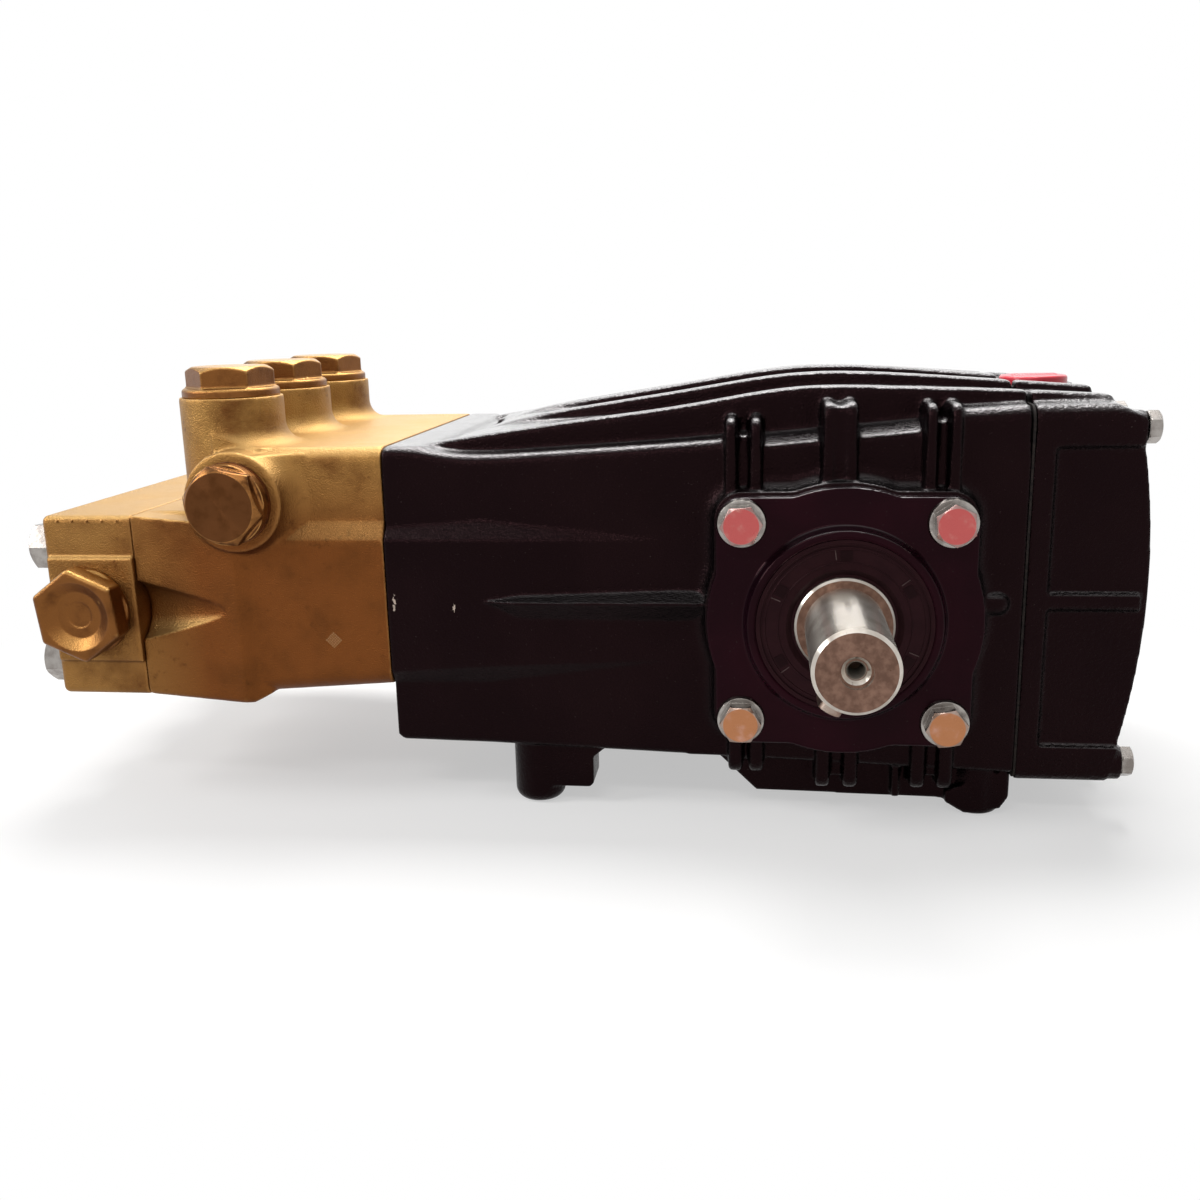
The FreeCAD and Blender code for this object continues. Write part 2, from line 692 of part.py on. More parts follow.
def side_panel(side):
    """Lower part of the side wall, flush with the head in front and fading out at the flange."""
    def section(share, height, top, low, slope, low_slope):
        root = case_half_width - 3
        outline = [(root, top), (case_half_width, top), (case_half_width + height, top - slope),
                   (case_half_width + height, low + low_slope), (case_half_width, low), (root, low)]
        points = [at(place(share), side * y, z) for y, z in outline]
        return Part.makePolygon(points + points[:1])
    front = section(-1, panel_height, panel_top_z, panel_low_z, panel_slope, panel_low_slope)
    knee = section(panel_knee_share, panel_height, panel_top_z, panel_knee_low_z, panel_slope,
                   panel_low_slope)
    tip = section(panel_tip_share, 0.15, panel_tip_top_z, panel_tip_low_z, 0.8, 0.8)
    return [Part.makeLoft([front, knee], True, True), Part.makeLoft([knee, tip], True, True)]


def side_ribs(side):
    """Ridged rib on the panel in front of the flange pad, and a round one behind the pad."""
    sections = []
    for share, stand, top, ridge, low in zip(side_rib_share, side_rib_stand, side_rib_top_z,
                                             side_rib_ridge_z, side_rib_low_z):
        faded = max(0.0, (panel_tip_share - share) / (panel_tip_share - panel_knee_share))
        foot = case_half_width + panel_height * min(1.0, faded)
        outline = [(foot, top), (stand, ridge), (foot, low), (foot - side_rib_root, low),
                   (foot - side_rib_root, top)]
        points = [at(place(share), side * y, z) for y, z in outline]
        sections.append(Part.makePolygon(points + points[:1]))
    front = [Part.makeLoft(list(pair), True, True) for pair in zip(sections, sections[1:])]
    wall = side * case_half_width
    rear = rod(at(flange_half_size, wall, rear_rib_z), X, rear_rib_radius, rear_rib_reach)
    nose = Part.makeSphere(rear_rib_radius, at(flange_half_size + rear_rib_reach, wall, rear_rib_z))
    return front + [rear, nose]


def flange_ribs(side):
    """Upright ribs in pairs that tie the flange pad to the upper body and the sump."""
    ribs = []
    back = upper_half_width - 8
    front = flange_back_y - flange_rib_inset
    low_front = flange_back_y - flange_rib_low_inset
    for number, (x, pitch, top) in enumerate(flange_rib_pairs):
        for middle in (x - pitch / 2, x + pitch / 2):
            ribs.append(nosed_rib(middle, flange_rib_width, back, front, crown_root_z, top))
        web = 1.2 if number == 1 else flange_rib_web_inset
        ribs.append(block(x - pitch / 2, x + pitch / 2, back, front - web, crown_root_z, top - web * 1.5))
    for x, pitch, foot in low_rib_pairs:
        for middle in (x - pitch / 2, x + pitch / 2):
            ribs.append(nosed_rib(middle, low_rib_width, back, low_front, foot, -past))
        ribs.append(block(x - pitch / 2, x + pitch / 2, back, low_front - flange_rib_web_inset,
                          foot + flange_rib_web_inset, -past))
    ribs.append(block(sump_rib_x - sump_rib_width / 2, sump_rib_x + sump_rib_width / 2, back,
                      case_half_width - 2, sump_z + 1, -past))
    return [on_side(rib, side) for rib in ribs]


def nosed_rib(x, width, back, front, low, top):
    """One upright rib with its outer end rounded in side view and its outer edges softened."""
    rib = block(x - width / 2, x + width / 2, back, front, low, top)
    end = top if top > 0 else low
    corner = [e for e in rib.Edges if runs_along(e, X)
              and abs(e.BoundBox.Center.y - front) < 0.01 and abs(e.BoundBox.Center.z - end) < 0.01]
    rib = rib.makeFillet(flange_rib_nose, corner)
    outer = [e for e in rib.Edges if runs_along(e, Z) and abs(e.BoundBox.Center.y - front) < 0.01]
    return rib.makeFillet(width * 0.3, outer)


def flange_pad(side):
    """Raised pad under a flange, blended into the flat wall round it."""
    pad = flange_plate(case_half_width - pad_root, flange_back_y, pad_margin)
    patch = block(-pad_patch, pad_patch, case_half_width - pad_root, case_half_width, -pad_patch, pad_patch)
    body = pad.fuse(patch).removeSplitter()
    foot = [e for e in body.Edges if e.BoundBox.YLength < 0.01
            and abs(e.BoundBox.Center.y - case_half_width) < 0.01
            and max(abs(e.Vertexes[0].Point.x), abs(e.Vertexes[0].Point.z)) < pad_patch - 0.1]
    return on_side(body.makeFillet(pad_blend_radius, foot), side)


def crankcase():
    wall = side_wall()
    for side in (-1, 1):
        wall = wall.cut(ledge_wedge(side))
    shapes = [wall, shoulder(), upper_body(), sump()] + feet()
    for side in (-1, 1):
        shapes += [flange_pad(side)] + side_panel(side) + side_ribs(side) + flange_ribs(side)
    body = join(shapes)
    for side in (-1, 1):
        out = Y * side
        body = body.cut(rod(at(0, side * (flange_back_y - spigot_depth), 0), out, spigot_radius, past))
        for seat in flange_bolt_seats(side):
            body = body.cut(bolt_hole(seat, out, flange_bolt))
    body = body.cut(rod(at(0, -flange_back_y, 0), Y, journal_radius + running_gap,
                        flange_back_y - journal_inner_y + clearance))
    for seat in cover_bolt_seats("top") + cover_bolt_seats("low"):
        body = body.cut(bolt_hole(seat, X, cover_bolt))
    for x, y in foot_centres():
        body = body.cut(rod(at(x, y, -shaft_height), Z, foot_hole_radius, foot_hole_depth))
    return body


# Rear cover


def cover_bolt_seats(row):
    outer, z = (cover_top_y, cover_bolt_top_z) if row == "top" else (cover_low_y, cover_bolt_low_z)
    return [at(cover_edge_x, y, z) for y in (-outer, -cover_inner_y, cover_inner_y, outer)]


def cover_outline(x0, x1, inset):
    half = case_half_width - inset
    body = block(x0, x1, -half, half, cover_low_z + inset, lip_rear_z - inset)
    for radius, top in ((rear_edge_radius, True), (lip_radius, False)):
        along = [e for e in body.Edges if runs_along(e, X) and (e.BoundBox.ZMin > 0) == top]
        body = body.makeFillet(radius, along)
    return body


def cover_gasket():
    body = cover_outline(case_rear_x, case_rear_x + gasket_thickness, gasket_inset)
    for seat in cover_bolt_seats("top") + cover_bolt_seats("low"):
        body = body.cut(bolt_hole(seat, X, cover_bolt))
    return body


def cover_panel(side):
    """Recess in one side of the cover, behind the full-width strip."""
    floor = case_half_width - cover_panel_inset
    tool = block(case_rear_x + gasket_thickness + cover_rim, cover_face_x + 1, floor, case_half_width + 1,
                 cover_panel_low_z, cover_panel_top_z)
    inner = [e for e in tool.Edges if e.BoundBox.YMax < floor + 0.01 and e.BoundBox.XMin < cover_face_x]
    return on_side(tool.makeFillet(cover_panel_edge, inner), side)


def rear_cover():
    start = case_rear_x + gasket_thickness
    half = case_half_width
    across_radius = (half ** 2 + cover_dome ** 2) / (2 * cover_dome)
    dome = Part.makeTorus(across_radius - cover_curve_radius, cover_curve_radius,
                          at(cover_face_x - across_radius, 0, cover_apex_z), Z)
    shell = cover_outline(start, cover_face_x, 0).common(dome)
    shell = shell.cut(slab_y([(cover_slope_x, lip_rear_z), (cover_slope_x, lip_rear_z + 1),
                              (cover_face_x + 1, lip_rear_z + 1),
                              (cover_face_x + 1, lip_rear_z - cover_slope_fall * 2),
                              (cover_slope_end_x, lip_rear_z - cover_slope_fall)], -half, half))
    for side in (-1, 1):
        shell = shell.cut(cover_panel(side))
    fins = crown().common(block(start, cover_fin_end_x, -half, half, 0, past * 3))
    shell = join([shell, fins])
    bosses = []
    for row, radius in (("top", cover_top_boss_radius), ("low", cover_low_boss_radius)):
        bosses += [rod(at(start, s.y, s.z), X, radius, cover_edge_x - start) for s in cover_bolt_seats(row)]
    low, high = cover_rib_z - cover_rib_width / 2, cover_rib_z + cover_rib_width / 2
    rib = block(start, cover_face_x - cover_rib_drop, half - cover_rim, half, low, high)
    outer = [e for e in rib.Edges if runs_along(e, X) and e.BoundBox.YMin > half - 1]
    rib = rib.makeFillet(cover_rib_width * 0.35, outer)
    drain_boss = rod(at(start, 0, drain_z), X, drain_boss_radius, drain_face_x() - start)
    body = join([shell, drain_boss] + bosses + [on_side(rib, 1), on_side(rib, -1)])
    for seat in cover_bolt_seats("top") + cover_bolt_seats("low"):
        body = body.cut(bolt_hole(seat, X, cover_bolt))
        body = body.cut(rod(seat, X, spot_face_radius, past))
    body = body.cut(rod(at(oil_cap_x, 0, oil_cap_seat - oil_cap_stem_depth - clearance), Z,
                        oil_cap_stem_radius + clearance, past))
    body = body.cut(rod(at(oil_cap_x, 0, oil_cap_seat), Z, oil_cap_seat_radius, past))
    body = body.cut(rod(at(cover_face_x - sight_depth, 0, sight_z), X, sight_radius + clearance, past))
    body = body.cut(rod(at(drain_face_x(), 0, drain_z), X, drain_collar_radius + 1, past))
    return body.cut(rod(at(drain_face_x() - drain_stem_depth - clearance, 0, drain_z), X,
                        drain_stem_radius + clearance, past))


def drain_face_x():
    """Where the drain plug's collar seats, a little under the curved face."""
    return cover_face_x - (drain_z - cover_apex_z) ** 2 / (2 * cover_curve_radius) - drain_sink


def oil_cap():
    base = at(oil_cap_x, 0, oil_cap_seat)
    top = oil_cap_seat + oil_cap_height
    disc = rod(base, Z, oil_cap_radius, oil_cap_height)
    rims = [e for e in disc.Edges if e.BoundBox.ZMin > top - 0.01]
    disc = disc.makeFillet(oil_cap_edge, rims)
    length, width, height = oil_cap_grip
    grip = block(oil_cap_x - length / 2, oil_cap_x + length / 2, -width / 2, width / 2,
                 top - 1, top + height)
    return join([disc, grip, rod(base, Z * -1, oil_cap_stem_radius, oil_cap_stem_depth)])


def sight_bezel():
    start = cover_face_x - sight_depth
    ring = rod(at(start, 0, sight_z), X, sight_radius, sight_depth + sight_stand)
    front = [e for e in ring.Edges if e.BoundBox.XMin > cover_face_x + sight_stand - 0.01]
    ring = ring.makeChamfer(1.0, front)
    return ring.cut(rod(at(cover_face_x - sight_lens_depth, 0, sight_z), X, sight_lens_radius, past))


def sight_lens():
    return rod(at(cover_face_x - sight_lens_depth, 0, sight_z), X, sight_lens_radius, sight_lens_thickness)


def drain_plug():
    seat = at(drain_face_x(), 0, drain_z)
    collar = rod(seat, X, drain_collar_radius, drain_collar_height)
    head = hexagon(seat + X * (drain_collar_height - plug_overlap), X, drain_flats, drain_head_height)
    return join([collar, head, rod(seat, X * -1, drain_stem_radius, drain_stem_depth)])


# Brass head and suction manifold


def towers():
    return [at(tower_x, (i - 1) * tower_pitch, 0) for i in range(3)]


def neck():
    """Long part next to the crankcase, with a ledge down each side over its fuller lower half."""
    upper, lower = head_upper_half, head_lower_half
    lowest = head_low_z - head_low_drop
    half = [(upper, head_top_z), (upper, panel_top_z), (lower, panel_top_z - panel_slope),
            (lower, lowest)]
    outline = half + [(-y, z) for y, z in half[::-1]]
    body = prism_x(outline, gallery_front_x, case_front_x)
    under = [(gallery_front_x, lowest - 1), (block_rear_x, lowest), (case_front_x, head_low_z),
             (case_front_x, lowest - 1)]
    body = body.cut(slab_y(under, -past * 3, past * 3))

    def along(z0, z1):
        return [e for e in body.Edges if e.BoundBox.XLength > tower_radius and e.BoundBox.YLength < 0.01
                and z0 < e.BoundBox.Center.z < z1]
    body = body.makeFillet(head_top_radius, along(head_top_z - 1, head_top_z + 1))
    body = body.makeFillet(head_ledge_radius, along(panel_top_z - panel_slope - 1, panel_top_z + 1))
    body = body.makeFillet(head_low_radius, along(lowest - 1, head_low_z + 1))
    return body


def valve_block():
    """Fuller block round the valves, stepped down and out from the neck."""
    foot_x = block_rear_x + block_keel
    side = slab_y([(head_split_x, manifold_low_z), (block_rear_x - block_keel, block_low_z),
                   (foot_x, head_low_z - head_low_drop), (foot_x, head_low_z + head_low_radius),
                   (block_rear_x, block_shoulder_z), (head_split_x, head_front_top_z)],
                  -block_half, block_half)
    ridge_x = block_rear_x - block_ridge
    slant = block_stand / block_ridge
    corners = [(head_split_x, block_half), (ridge_x, block_half),
               (foot_x, block_half - slant * (foot_x - ridge_x))]
    plan = [at(x, y, -past) for x, y in corners] + [at(x, -y, -past) for x, y in corners[::-1]]
    body = side.common(Part.Face(Part.makePolygon(plan + plan[:1])).extrude(at(0, 0, past * 2)))
    ridges = [e for e in body.Edges if runs_along(e, Z) and abs(e.BoundBox.Center.x - ridge_x) < 0.01]
    body = body.makeFillet(block_ridge_radius, ridges)
    low = [e for e in body.Edges if e.BoundBox.ZMax < manifold_low_z + 0.01 and e.BoundBox.YLength < 0.01
           and e.BoundBox.XLength > block_length / 2]
    return body.makeFillet(block_edge_radius, low)


def pump_head():
    root_z = head_front_top_z - tower_root
    body = join([neck(), valve_block()])
    front = block(head_split_x, gallery_front_x + 2, -block_half + 12, block_half - 12,
                  head_low_z + 6, head_front_top_z)
    shapes = [body, front]
    for c in towers():
        shapes.append(rod(at(c.x, c.y, root_z), Z, tower_radius, tower_z - root_z))
        ring = flare(tower_radius, tower_flare_radius, tower_flare_radius, 2.0)
        ring.translate(at(c.x, c.y, head_top_z))
        half = head_upper_half - 1
        shapes.append(ring.common(block(gallery_front_x, case_front_x, -half, half,
                                        head_top_z - 2, tower_z)))
    for side in (-1, 1):
        boss = rod(at(delivery_x, delivery_boss_y - boss_root, delivery_z), Y,
                   delivery_boss_radius, boss_root)
        ring = flare(delivery_boss_radius, delivery_flare_reach, delivery_flare_rise, 2.0)
        foot = at(delivery_x, head_upper_half, delivery_z)
        ring.Placement = FreeCAD.Placement(foot, FreeCAD.Rotation(Z, Y))
        ring = ring.common(block(gallery_front_x, case_front_x, 0, past * 3, head_low_z, head_top_z - 2))
        shapes += [on_side(boss, side), on_side(ring, side)]
    body = join(shapes)
    for c in towers():
        body = body.cut(rod(at(c.x, c.y, tower_z - cap_plug_depth - clearance), Z,
                            cap_plug_radius + clearance, past))
    for side in (-1, 1):
        start = at(delivery_x, side * (delivery_boss_y - delivery_port_depth), delivery_z)
        body = body.cut(rod(start, Y * side, delivery_port_radius, past))
        body = body.cut(pocket(side))
    for seat in manifold_bolt_seats():
        body = body.cut(bolt_hole(seat, X * -1, manifold_bolt))
    return body


def pocket(side):
    """Tapered scoop with a round end in the side of the head, behind the suction port."""
    length = pocket_end_x - pocket_end_half_height - head_split_x
    axis_y = block_half + pocket_half_height - pocket_depth
    cone = Part.makeCone(pocket_half_height, pocket_end_half_height, length,
                         at(head_split_x, axis_y, pocket_z), X)
    end = Part.makeSphere(pocket_end_half_height, at(head_split_x + length, axis_y, pocket_z))
    return on_side(cone.fuse(end), side)


def manifold_bolt_seats():
    pitch = 2 * manifold_bolt_y / 3
    return [at(head_front_x, -manifold_bolt_y + pitch * i, z)
            for z in (manifold_bolt_top_z, manifold_bolt_low_z) for i in range(4)]


def suction_manifold():
    """Bolted block on the front of the head, with a suction port in each end."""
    half = block_half
    body = block(head_front_x, head_split_x, -half, half, manifold_low_z, head_front_top_z)
    edges = [e for e in body.Edges if runs_along(e, X) or e.BoundBox.XMax < head_front_x + 0.01]
    body = body.makeFillet(manifold_edge_radius, edges)
    low = suction_z - suction_pad_half_height
    pad = block(head_front_x + suction_pad_inset, head_split_x, half - boss_root, suction_pad_y,
                low, low + 2 * suction_pad_half_height)
    pad = pad.makeFillet(1.0, [e for e in pad.Edges if e.BoundBox.YMin > suction_pad_y - 0.01])
    body = join([body, on_side(pad, 1), on_side(pad, -1)])
    for side in (-1, 1):
        start = at(suction_x, side * (suction_pad_y - suction_port_depth), suction_z)
        body = body.cut(rod(start, Y * side, suction_port_radius, past))
    for seat in manifold_bolt_seats():
        body = body.cut(bolt_hole(seat, X * -1, manifold_bolt))
    return body


# Caps and plugs


def valve_cap(centre, turn):
    seat = at(centre.x, centre.y, tower_z)
    collar = rod(seat, Z, cap_collar_radius, cap_collar_height)
    rims = [e for e in collar.Edges if e.BoundBox.ZMin > tower_z + cap_collar_height - 0.01]
    collar = collar.makeChamfer(cap_collar_edge, rims)
    head = hexagon(seat + Z * (cap_collar_height - plug_overlap), Z, cap_flats, cap_hex_height, turn)
    return join([collar, head, rod(seat, Z * -1, cap_plug_radius, cap_plug_depth)])


def delivery_washer():
    start = at(delivery_x, -delivery_boss_y, delivery_z)
    ring = rod(start, Y * -1, delivery_washer_radius, delivery_washer_thickness)
    return ring.cut(rod(start, Y * -1, delivery_port_radius, delivery_washer_thickness))


def delivery_plug():
    seat = at(delivery_x, -delivery_boss_y - delivery_washer_thickness, delivery_z)
    out = Y * -1
    collar = rod(seat, out, delivery_plug_collar_radius, delivery_plug_collar_height)
    head = hexagon(seat + out * (delivery_plug_collar_height - plug_overlap), out, delivery_plug_flats,
                   delivery_plug_height, delivery_plug_turn, delivery_plug_slope)
    stem = rod(seat, Y, delivery_port_radius - clearance, delivery_port_depth - plug_end_gap)
    return join([collar, head, stem])


def suction_plug():
    """Hexagon plug with a dished face."""
    seat = at(suction_x, -suction_pad_y, suction_z)
    out = Y * -1
    collar = rod(seat, out, suction_plug_collar_radius, suction_plug_collar_height)
    head = soft_hexagon(seat + out * (suction_plug_collar_height - plug_overlap), out,
                        suction_plug_flats, suction_plug_height, suction_plug_turn, suction_plug_edge)
    stem = rod(seat, Y, suction_port_radius - clearance, suction_port_depth - plug_end_gap)
    face = seat + out * (suction_plug_collar_height - plug_overlap + suction_plug_height)
    bowl = Part.makeCone(suction_bowl_radius, suction_bowl_radius - suction_bowl_taper,
                         suction_bowl_depth, face, Y)
    ring = rod(face + Y * suction_bowl_depth, Y, suction_ring_radius, 0.5)
    return join([collar, head, stem]).cut(bowl).cut(ring)


def make_all():
    parts = {
        "crankcase": crankcase(), "rear_cover": rear_cover(), "cover_gasket": cover_gasket(),
        "oil_cap": oil_cap(), "sight_bezel": sight_bezel(), "sight_lens": sight_lens(),
        "drain_plug": drain_plug(), "drive_flange": drive_flange(), "blind_flange": blind_flange(),
        "shaft_seal": shaft_seal(), "crankshaft": crankshaft(), "shaft_key": key_shape(),
        "pump_head": pump_head(), "suction_manifold": suction_manifold(),
        "delivery_washer": delivery_washer(), "delivery_plug": delivery_plug(),
        "suction_plug": suction_plug(),
        "cover_bolts_top": Part.makeCompound([bolt(s, X, cover_bolt) for s in cover_bolt_seats("top")]),
        "cover_bolts_low": Part.makeCompound([bolt(s, X, cover_bolt) for s in cover_bolt_seats("low")]),
    }
    for i, (centre, turn) in enumerate(zip(towers(), cap_turns)):
        parts[f"valve_cap_{i + 1}"] = valve_cap(centre, turn)
    for side, name in ((-1, "drive_flange_bolt"), (1, "blind_flange_bolt")):
        for i, (seat, turn) in enumerate(zip(flange_bolt_seats(side), flange_bolt_turns)):
            parts[f"{name}_{i + 1}"] = bolt(seat, Y * side, flange_bolt, turn)
    for i, seat in enumerate(manifold_bolt_seats()):
        turn = manifold_bolt_turns[0] if seat.z > 0 else manifold_bolt_turns[1]
        parts[f"manifold_bolt_{i + 1}"] = bolt(seat, X * -1, manifold_bolt, turn)
    return parts


def main():
    os.makedirs("parts", exist_ok=True)
    origin_shift = at(foot_pitch_x / 2 - rear_foot_x, 0, shaft_height)
    for name, shape in make_all().items():
        shape.translate(origin_shift)
        shape.exportStep(f"parts/{name}.step")
        print(name, len(shape.Solids), shape.isValid(), round(shape.Volume / 1000, 1))


main()
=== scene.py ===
import bmesh
import bpy
import math
from mathutils import Matrix, Vector


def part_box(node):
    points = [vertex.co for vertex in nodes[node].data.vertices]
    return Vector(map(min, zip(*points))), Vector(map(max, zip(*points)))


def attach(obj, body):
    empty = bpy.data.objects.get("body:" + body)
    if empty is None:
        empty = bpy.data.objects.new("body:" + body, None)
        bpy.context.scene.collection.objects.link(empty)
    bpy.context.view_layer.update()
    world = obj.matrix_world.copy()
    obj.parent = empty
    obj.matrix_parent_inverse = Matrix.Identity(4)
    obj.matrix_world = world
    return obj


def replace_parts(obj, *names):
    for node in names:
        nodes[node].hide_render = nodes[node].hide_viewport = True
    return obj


# Looks of a high-pressure triplex plunger pump: black enamelled casting, forged brass head
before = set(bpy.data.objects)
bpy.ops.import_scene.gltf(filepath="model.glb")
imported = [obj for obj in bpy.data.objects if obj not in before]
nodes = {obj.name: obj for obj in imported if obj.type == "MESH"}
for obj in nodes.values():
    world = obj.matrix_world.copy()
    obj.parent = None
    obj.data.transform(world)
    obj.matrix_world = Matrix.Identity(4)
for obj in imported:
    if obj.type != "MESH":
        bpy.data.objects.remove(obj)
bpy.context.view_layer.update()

MM = 0.001
BODY = "pump_body"
SHAFT_BODY = "crankshaft"

# Camera of the photograph, in metres and degrees, in the pump's own frame
camera_place = (0.00118, -0.50699, 0.1905)
camera_yaw = 7.67
camera_pitch = -13.63
camera_roll = 1.39
camera_lens = 36.02         # mm
camera_sensor = 36.0        # mm

# Softened copies of the CAD shapes: voxel size in mm and smoothing passes
castings = {
    "crankcase": (0.75, 2), "rear_cover": (0.75, 2), "pump_head": (0.8, 3), "suction_manifold": (0.7, 2),
    "drive_flange": (0.6, 2), "blind_flange": (0.6, 2), "suction_plug": (0.45, 2), "delivery_plug": (0.4, 1),
    "valve_cap_1": (0.5, 1), "valve_cap_2": (0.5, 1), "valve_cap_3": (0.5, 1), "oil_cap": (0.45, 2),
}
weld_gap = 0.01 * MM        # corners closer than this become one, so that the shell is closed
ease_share = 0.5            # how far one pass moves a corner towards the middle of its neighbours
finned = ("crankcase", "rear_cover")
fin_foot = 0.136            # metres above the feet, where the rounding of the fins starts
fin_blend = 0.008           # metres over which it grows to its full strength
fin_passes = 32
casting_triangles = 190000
small_triangles = 42000
small_size = 0.1            # metres: a piece shorter than this gets the smaller number

# Real grain is about 0.2 mm, finer than a pixel of the photograph, so it is drawn coarser: size in mm
spray_grain = 0.85
blast_grain = 0.55
mould_grain = 0.5
lathe_grain = 0.7
grinding_grain = 0.8

# Radius that the render gives to the milled edges of screws and key, which stay sharp in the CAD
screw_edge = 0.35 * MM
key_edge = 0.3 * MM


def hex_colour(code):
    """Linear colour of an sRGB hex value, by the curve of the sRGB standard."""
    parts = [int(code[i:i + 2], 16) / 255 for i in (1, 3, 5)]
    linear = [c / 12.92 if c <= 0.04045 else ((c + 0.055) / 1.055) ** 2.4 for c in parts]
    return (*linear, 1.0)


def per(size_mm):
    """Scale, in features to the metre, of a pattern whose features are size_mm across."""
    return 1000.0 / size_mm


def add(tree, kind, inputs=None, out=0, **settings):
    """Adds one node with its settings, values and links, and gives back one of its outputs."""
    made = tree.nodes.new(kind)
    for name, value in settings.items():
        setattr(made, name, value)
    for key, value in (inputs or {}).items():
        if isinstance(value, bpy.types.NodeSocket):
            tree.links.new(value, made.inputs[key])
        else:
            made.inputs[key].default_value = value
    return made.outputs[out] if made.outputs else made


# Patterns that several finishes share

# Colour sockets of a Mix node, by number, because its number sockets have the same names
mix_under = 6
mix_over = 7
mix_result = 2


def mottle(tree, place, size_mm, low=0.3, high=0.7, detail=3.0, rough=0.55):
    """Soft clouds of a real size, where low becomes 0 and high becomes 1."""
    cloud = add(tree, "ShaderNodeTexNoise", {"Vector": place, "Scale": per(size_mm), "Detail": detail,
                                             "Roughness": rough})
    return add(tree, "ShaderNodeMapRange", {"Value": cloud, "From Min": low, "From Max": high},
               interpolation_type="SMOOTHSTEP")


def coats(tree, base, *layers):
    """A base colour with layers over it, each an amount and a colour, given in hex or by another node."""
    colour = hex_colour(base)
    for amount, code in layers:
        over = hex_colour(code) if isinstance(code, str) else code
        colour = add(tree, "ShaderNodeMix", {0: amount, mix_under: colour, mix_over: over}, mix_result,
                     data_type="RGBA")
    return colour


def relief(tree, *layers):
    """Layers of height, each with its real depth in mm, as one bumped normal."""
    normal = None
    for height, depth_mm in layers:
        inputs = {"Height": height, "Distance": depth_mm * MM}
        if normal:
            inputs["Normal"] = normal
        normal = add(tree, "ShaderNodeBump", inputs)
    return normal


def facing(tree, axis, start, full):
    """Rises from 0 to 1 as the surface turns towards an axis of the pump."""
    normal = add(tree, "ShaderNodeTexCoord", out="Normal")
    share = add(tree, "ShaderNodeSeparateXYZ", {0: normal}, axis)
    return add(tree, "ShaderNodeMapRange", {"Value": share, "From Min": start, "From Max": full},
               interpolation_type="SMOOTHSTEP")


def crest(tree, start, full, most=1.0):
    """Share of an edge, or of a hollow where full is below start, read from a dense casting mesh."""
    sharp = add(tree, "ShaderNodeNewGeometry", out="Pointiness")
    return add(tree, "ShaderNodeMapRange", {"Value": sharp, "From Min": start, "From Max": full,
                                            "To Max": most})


def along(tree, place, axis, start, full, most=1.0):
    """Rises evenly from 0 to most between two places on an axis of the pump, in metres."""
    share = add(tree, "ShaderNodeSeparateXYZ", {0: place}, axis)
    return add(tree, "ShaderNodeMapRange", {"Value": share, "From Min": start, "From Max": full,
                                            "To Max": most})


def turned(tree, place, centre):
    """Direction across the marks of a lathe's tool, which turned a piece round an axis along Y."""
    off_axis = (1.0, 0.0, 1.0)
    lathe_axis = (0.0, 1.0, 0.0)
    arm = add(tree, "ShaderNodeVectorMath", {0: place, 1: centre}, operation="SUBTRACT")
    arm = add(tree, "ShaderNodeVectorMath", {0: arm, 1: off_axis}, operation="MULTIPLY")
    arm = add(tree, "ShaderNodeVectorMath", {0: arm}, operation="NORMALIZE")
    across = add(tree, "ShaderNodeVectorMath", {0: arm, 1: lathe_axis}, operation="ADD")
    return add(tree, "ShaderNodeVectorTransform", {0: across}, convert_from="OBJECT", convert_to="WORLD")


def scuff(tree, place, centre, size):
    """1 in a small ragged mark round a place, and 0 elsewhere."""
    outside = 1.05
    inside = 0.95
    arm = add(tree, "ShaderNodeVectorMath", {0: place, 1: centre}, operation="SUBTRACT")
    arm = add(tree, "ShaderNodeVectorMath", {0: arm, 1: size}, operation="DIVIDE")
    reach = add(tree, "ShaderNodeVectorMath", {0: arm}, "Value", operation="LENGTH")
    ragged = mottle(tree, place, 0.9, low=0.35, high=0.65)
    reach = add(tree, "ShaderNodeMath", {0: reach, 1: ragged}, operation="ADD")
    return add(tree, "ShaderNodeMapRange", {"Value": reach, "From Min": outside, "From Max": inside})


# Finishes: each gives the values of its shader


def gloss_enamel(tree, place, peel_mm=2.4, peel_depth=0.04, grain_depth=0.1, rough=(0.14, 0.26),
                 tone=("#050304", "#0C0607"), marks=()):
    """Black enamel sprayed on a sand casting: orange peel and grain break its gloss, with dust in the paint.

    Its low specular level keeps the upright walls deep black; a coat where it faces up takes the sheen.
    """
    dust = mottle(tree, place, 0.8, low=0.75, high=0.8, detail=1.0)
    drift = mottle(tree, place, 40.0, low=0.35)
    layers = [(drift, tone[1]), (dust, "#2B2624")]
    layers += [(scuff(tree, place, centre, size), "#B7A79A") for centre, size in marks]
    gloss = add(tree, "ShaderNodeMapRange", {"Value": mottle(tree, place, 12.0), "To Min": rough[0],
                                             "To Max": rough[1]})
    normal = relief(tree, (mottle(tree, place, spray_grain, detail=2.0), grain_depth),
                    (mottle(tree, place, peel_mm, detail=2.0), peel_depth))
    # The rosy specular tint is a painted reflection, which gives the gloss a maroon cast
    return {"Base Color": coats(tree, tone[0], *layers), "Roughness": gloss, "Normal": normal,
            "Specular IOR Level": 0.1, "Specular Tint": hex_colour("#FFB4BC"),
            "Coat Weight": facing(tree, "Z", start=0.52, full=0.86), "Coat Roughness": 0.2,
            "Coat Normal": normal}


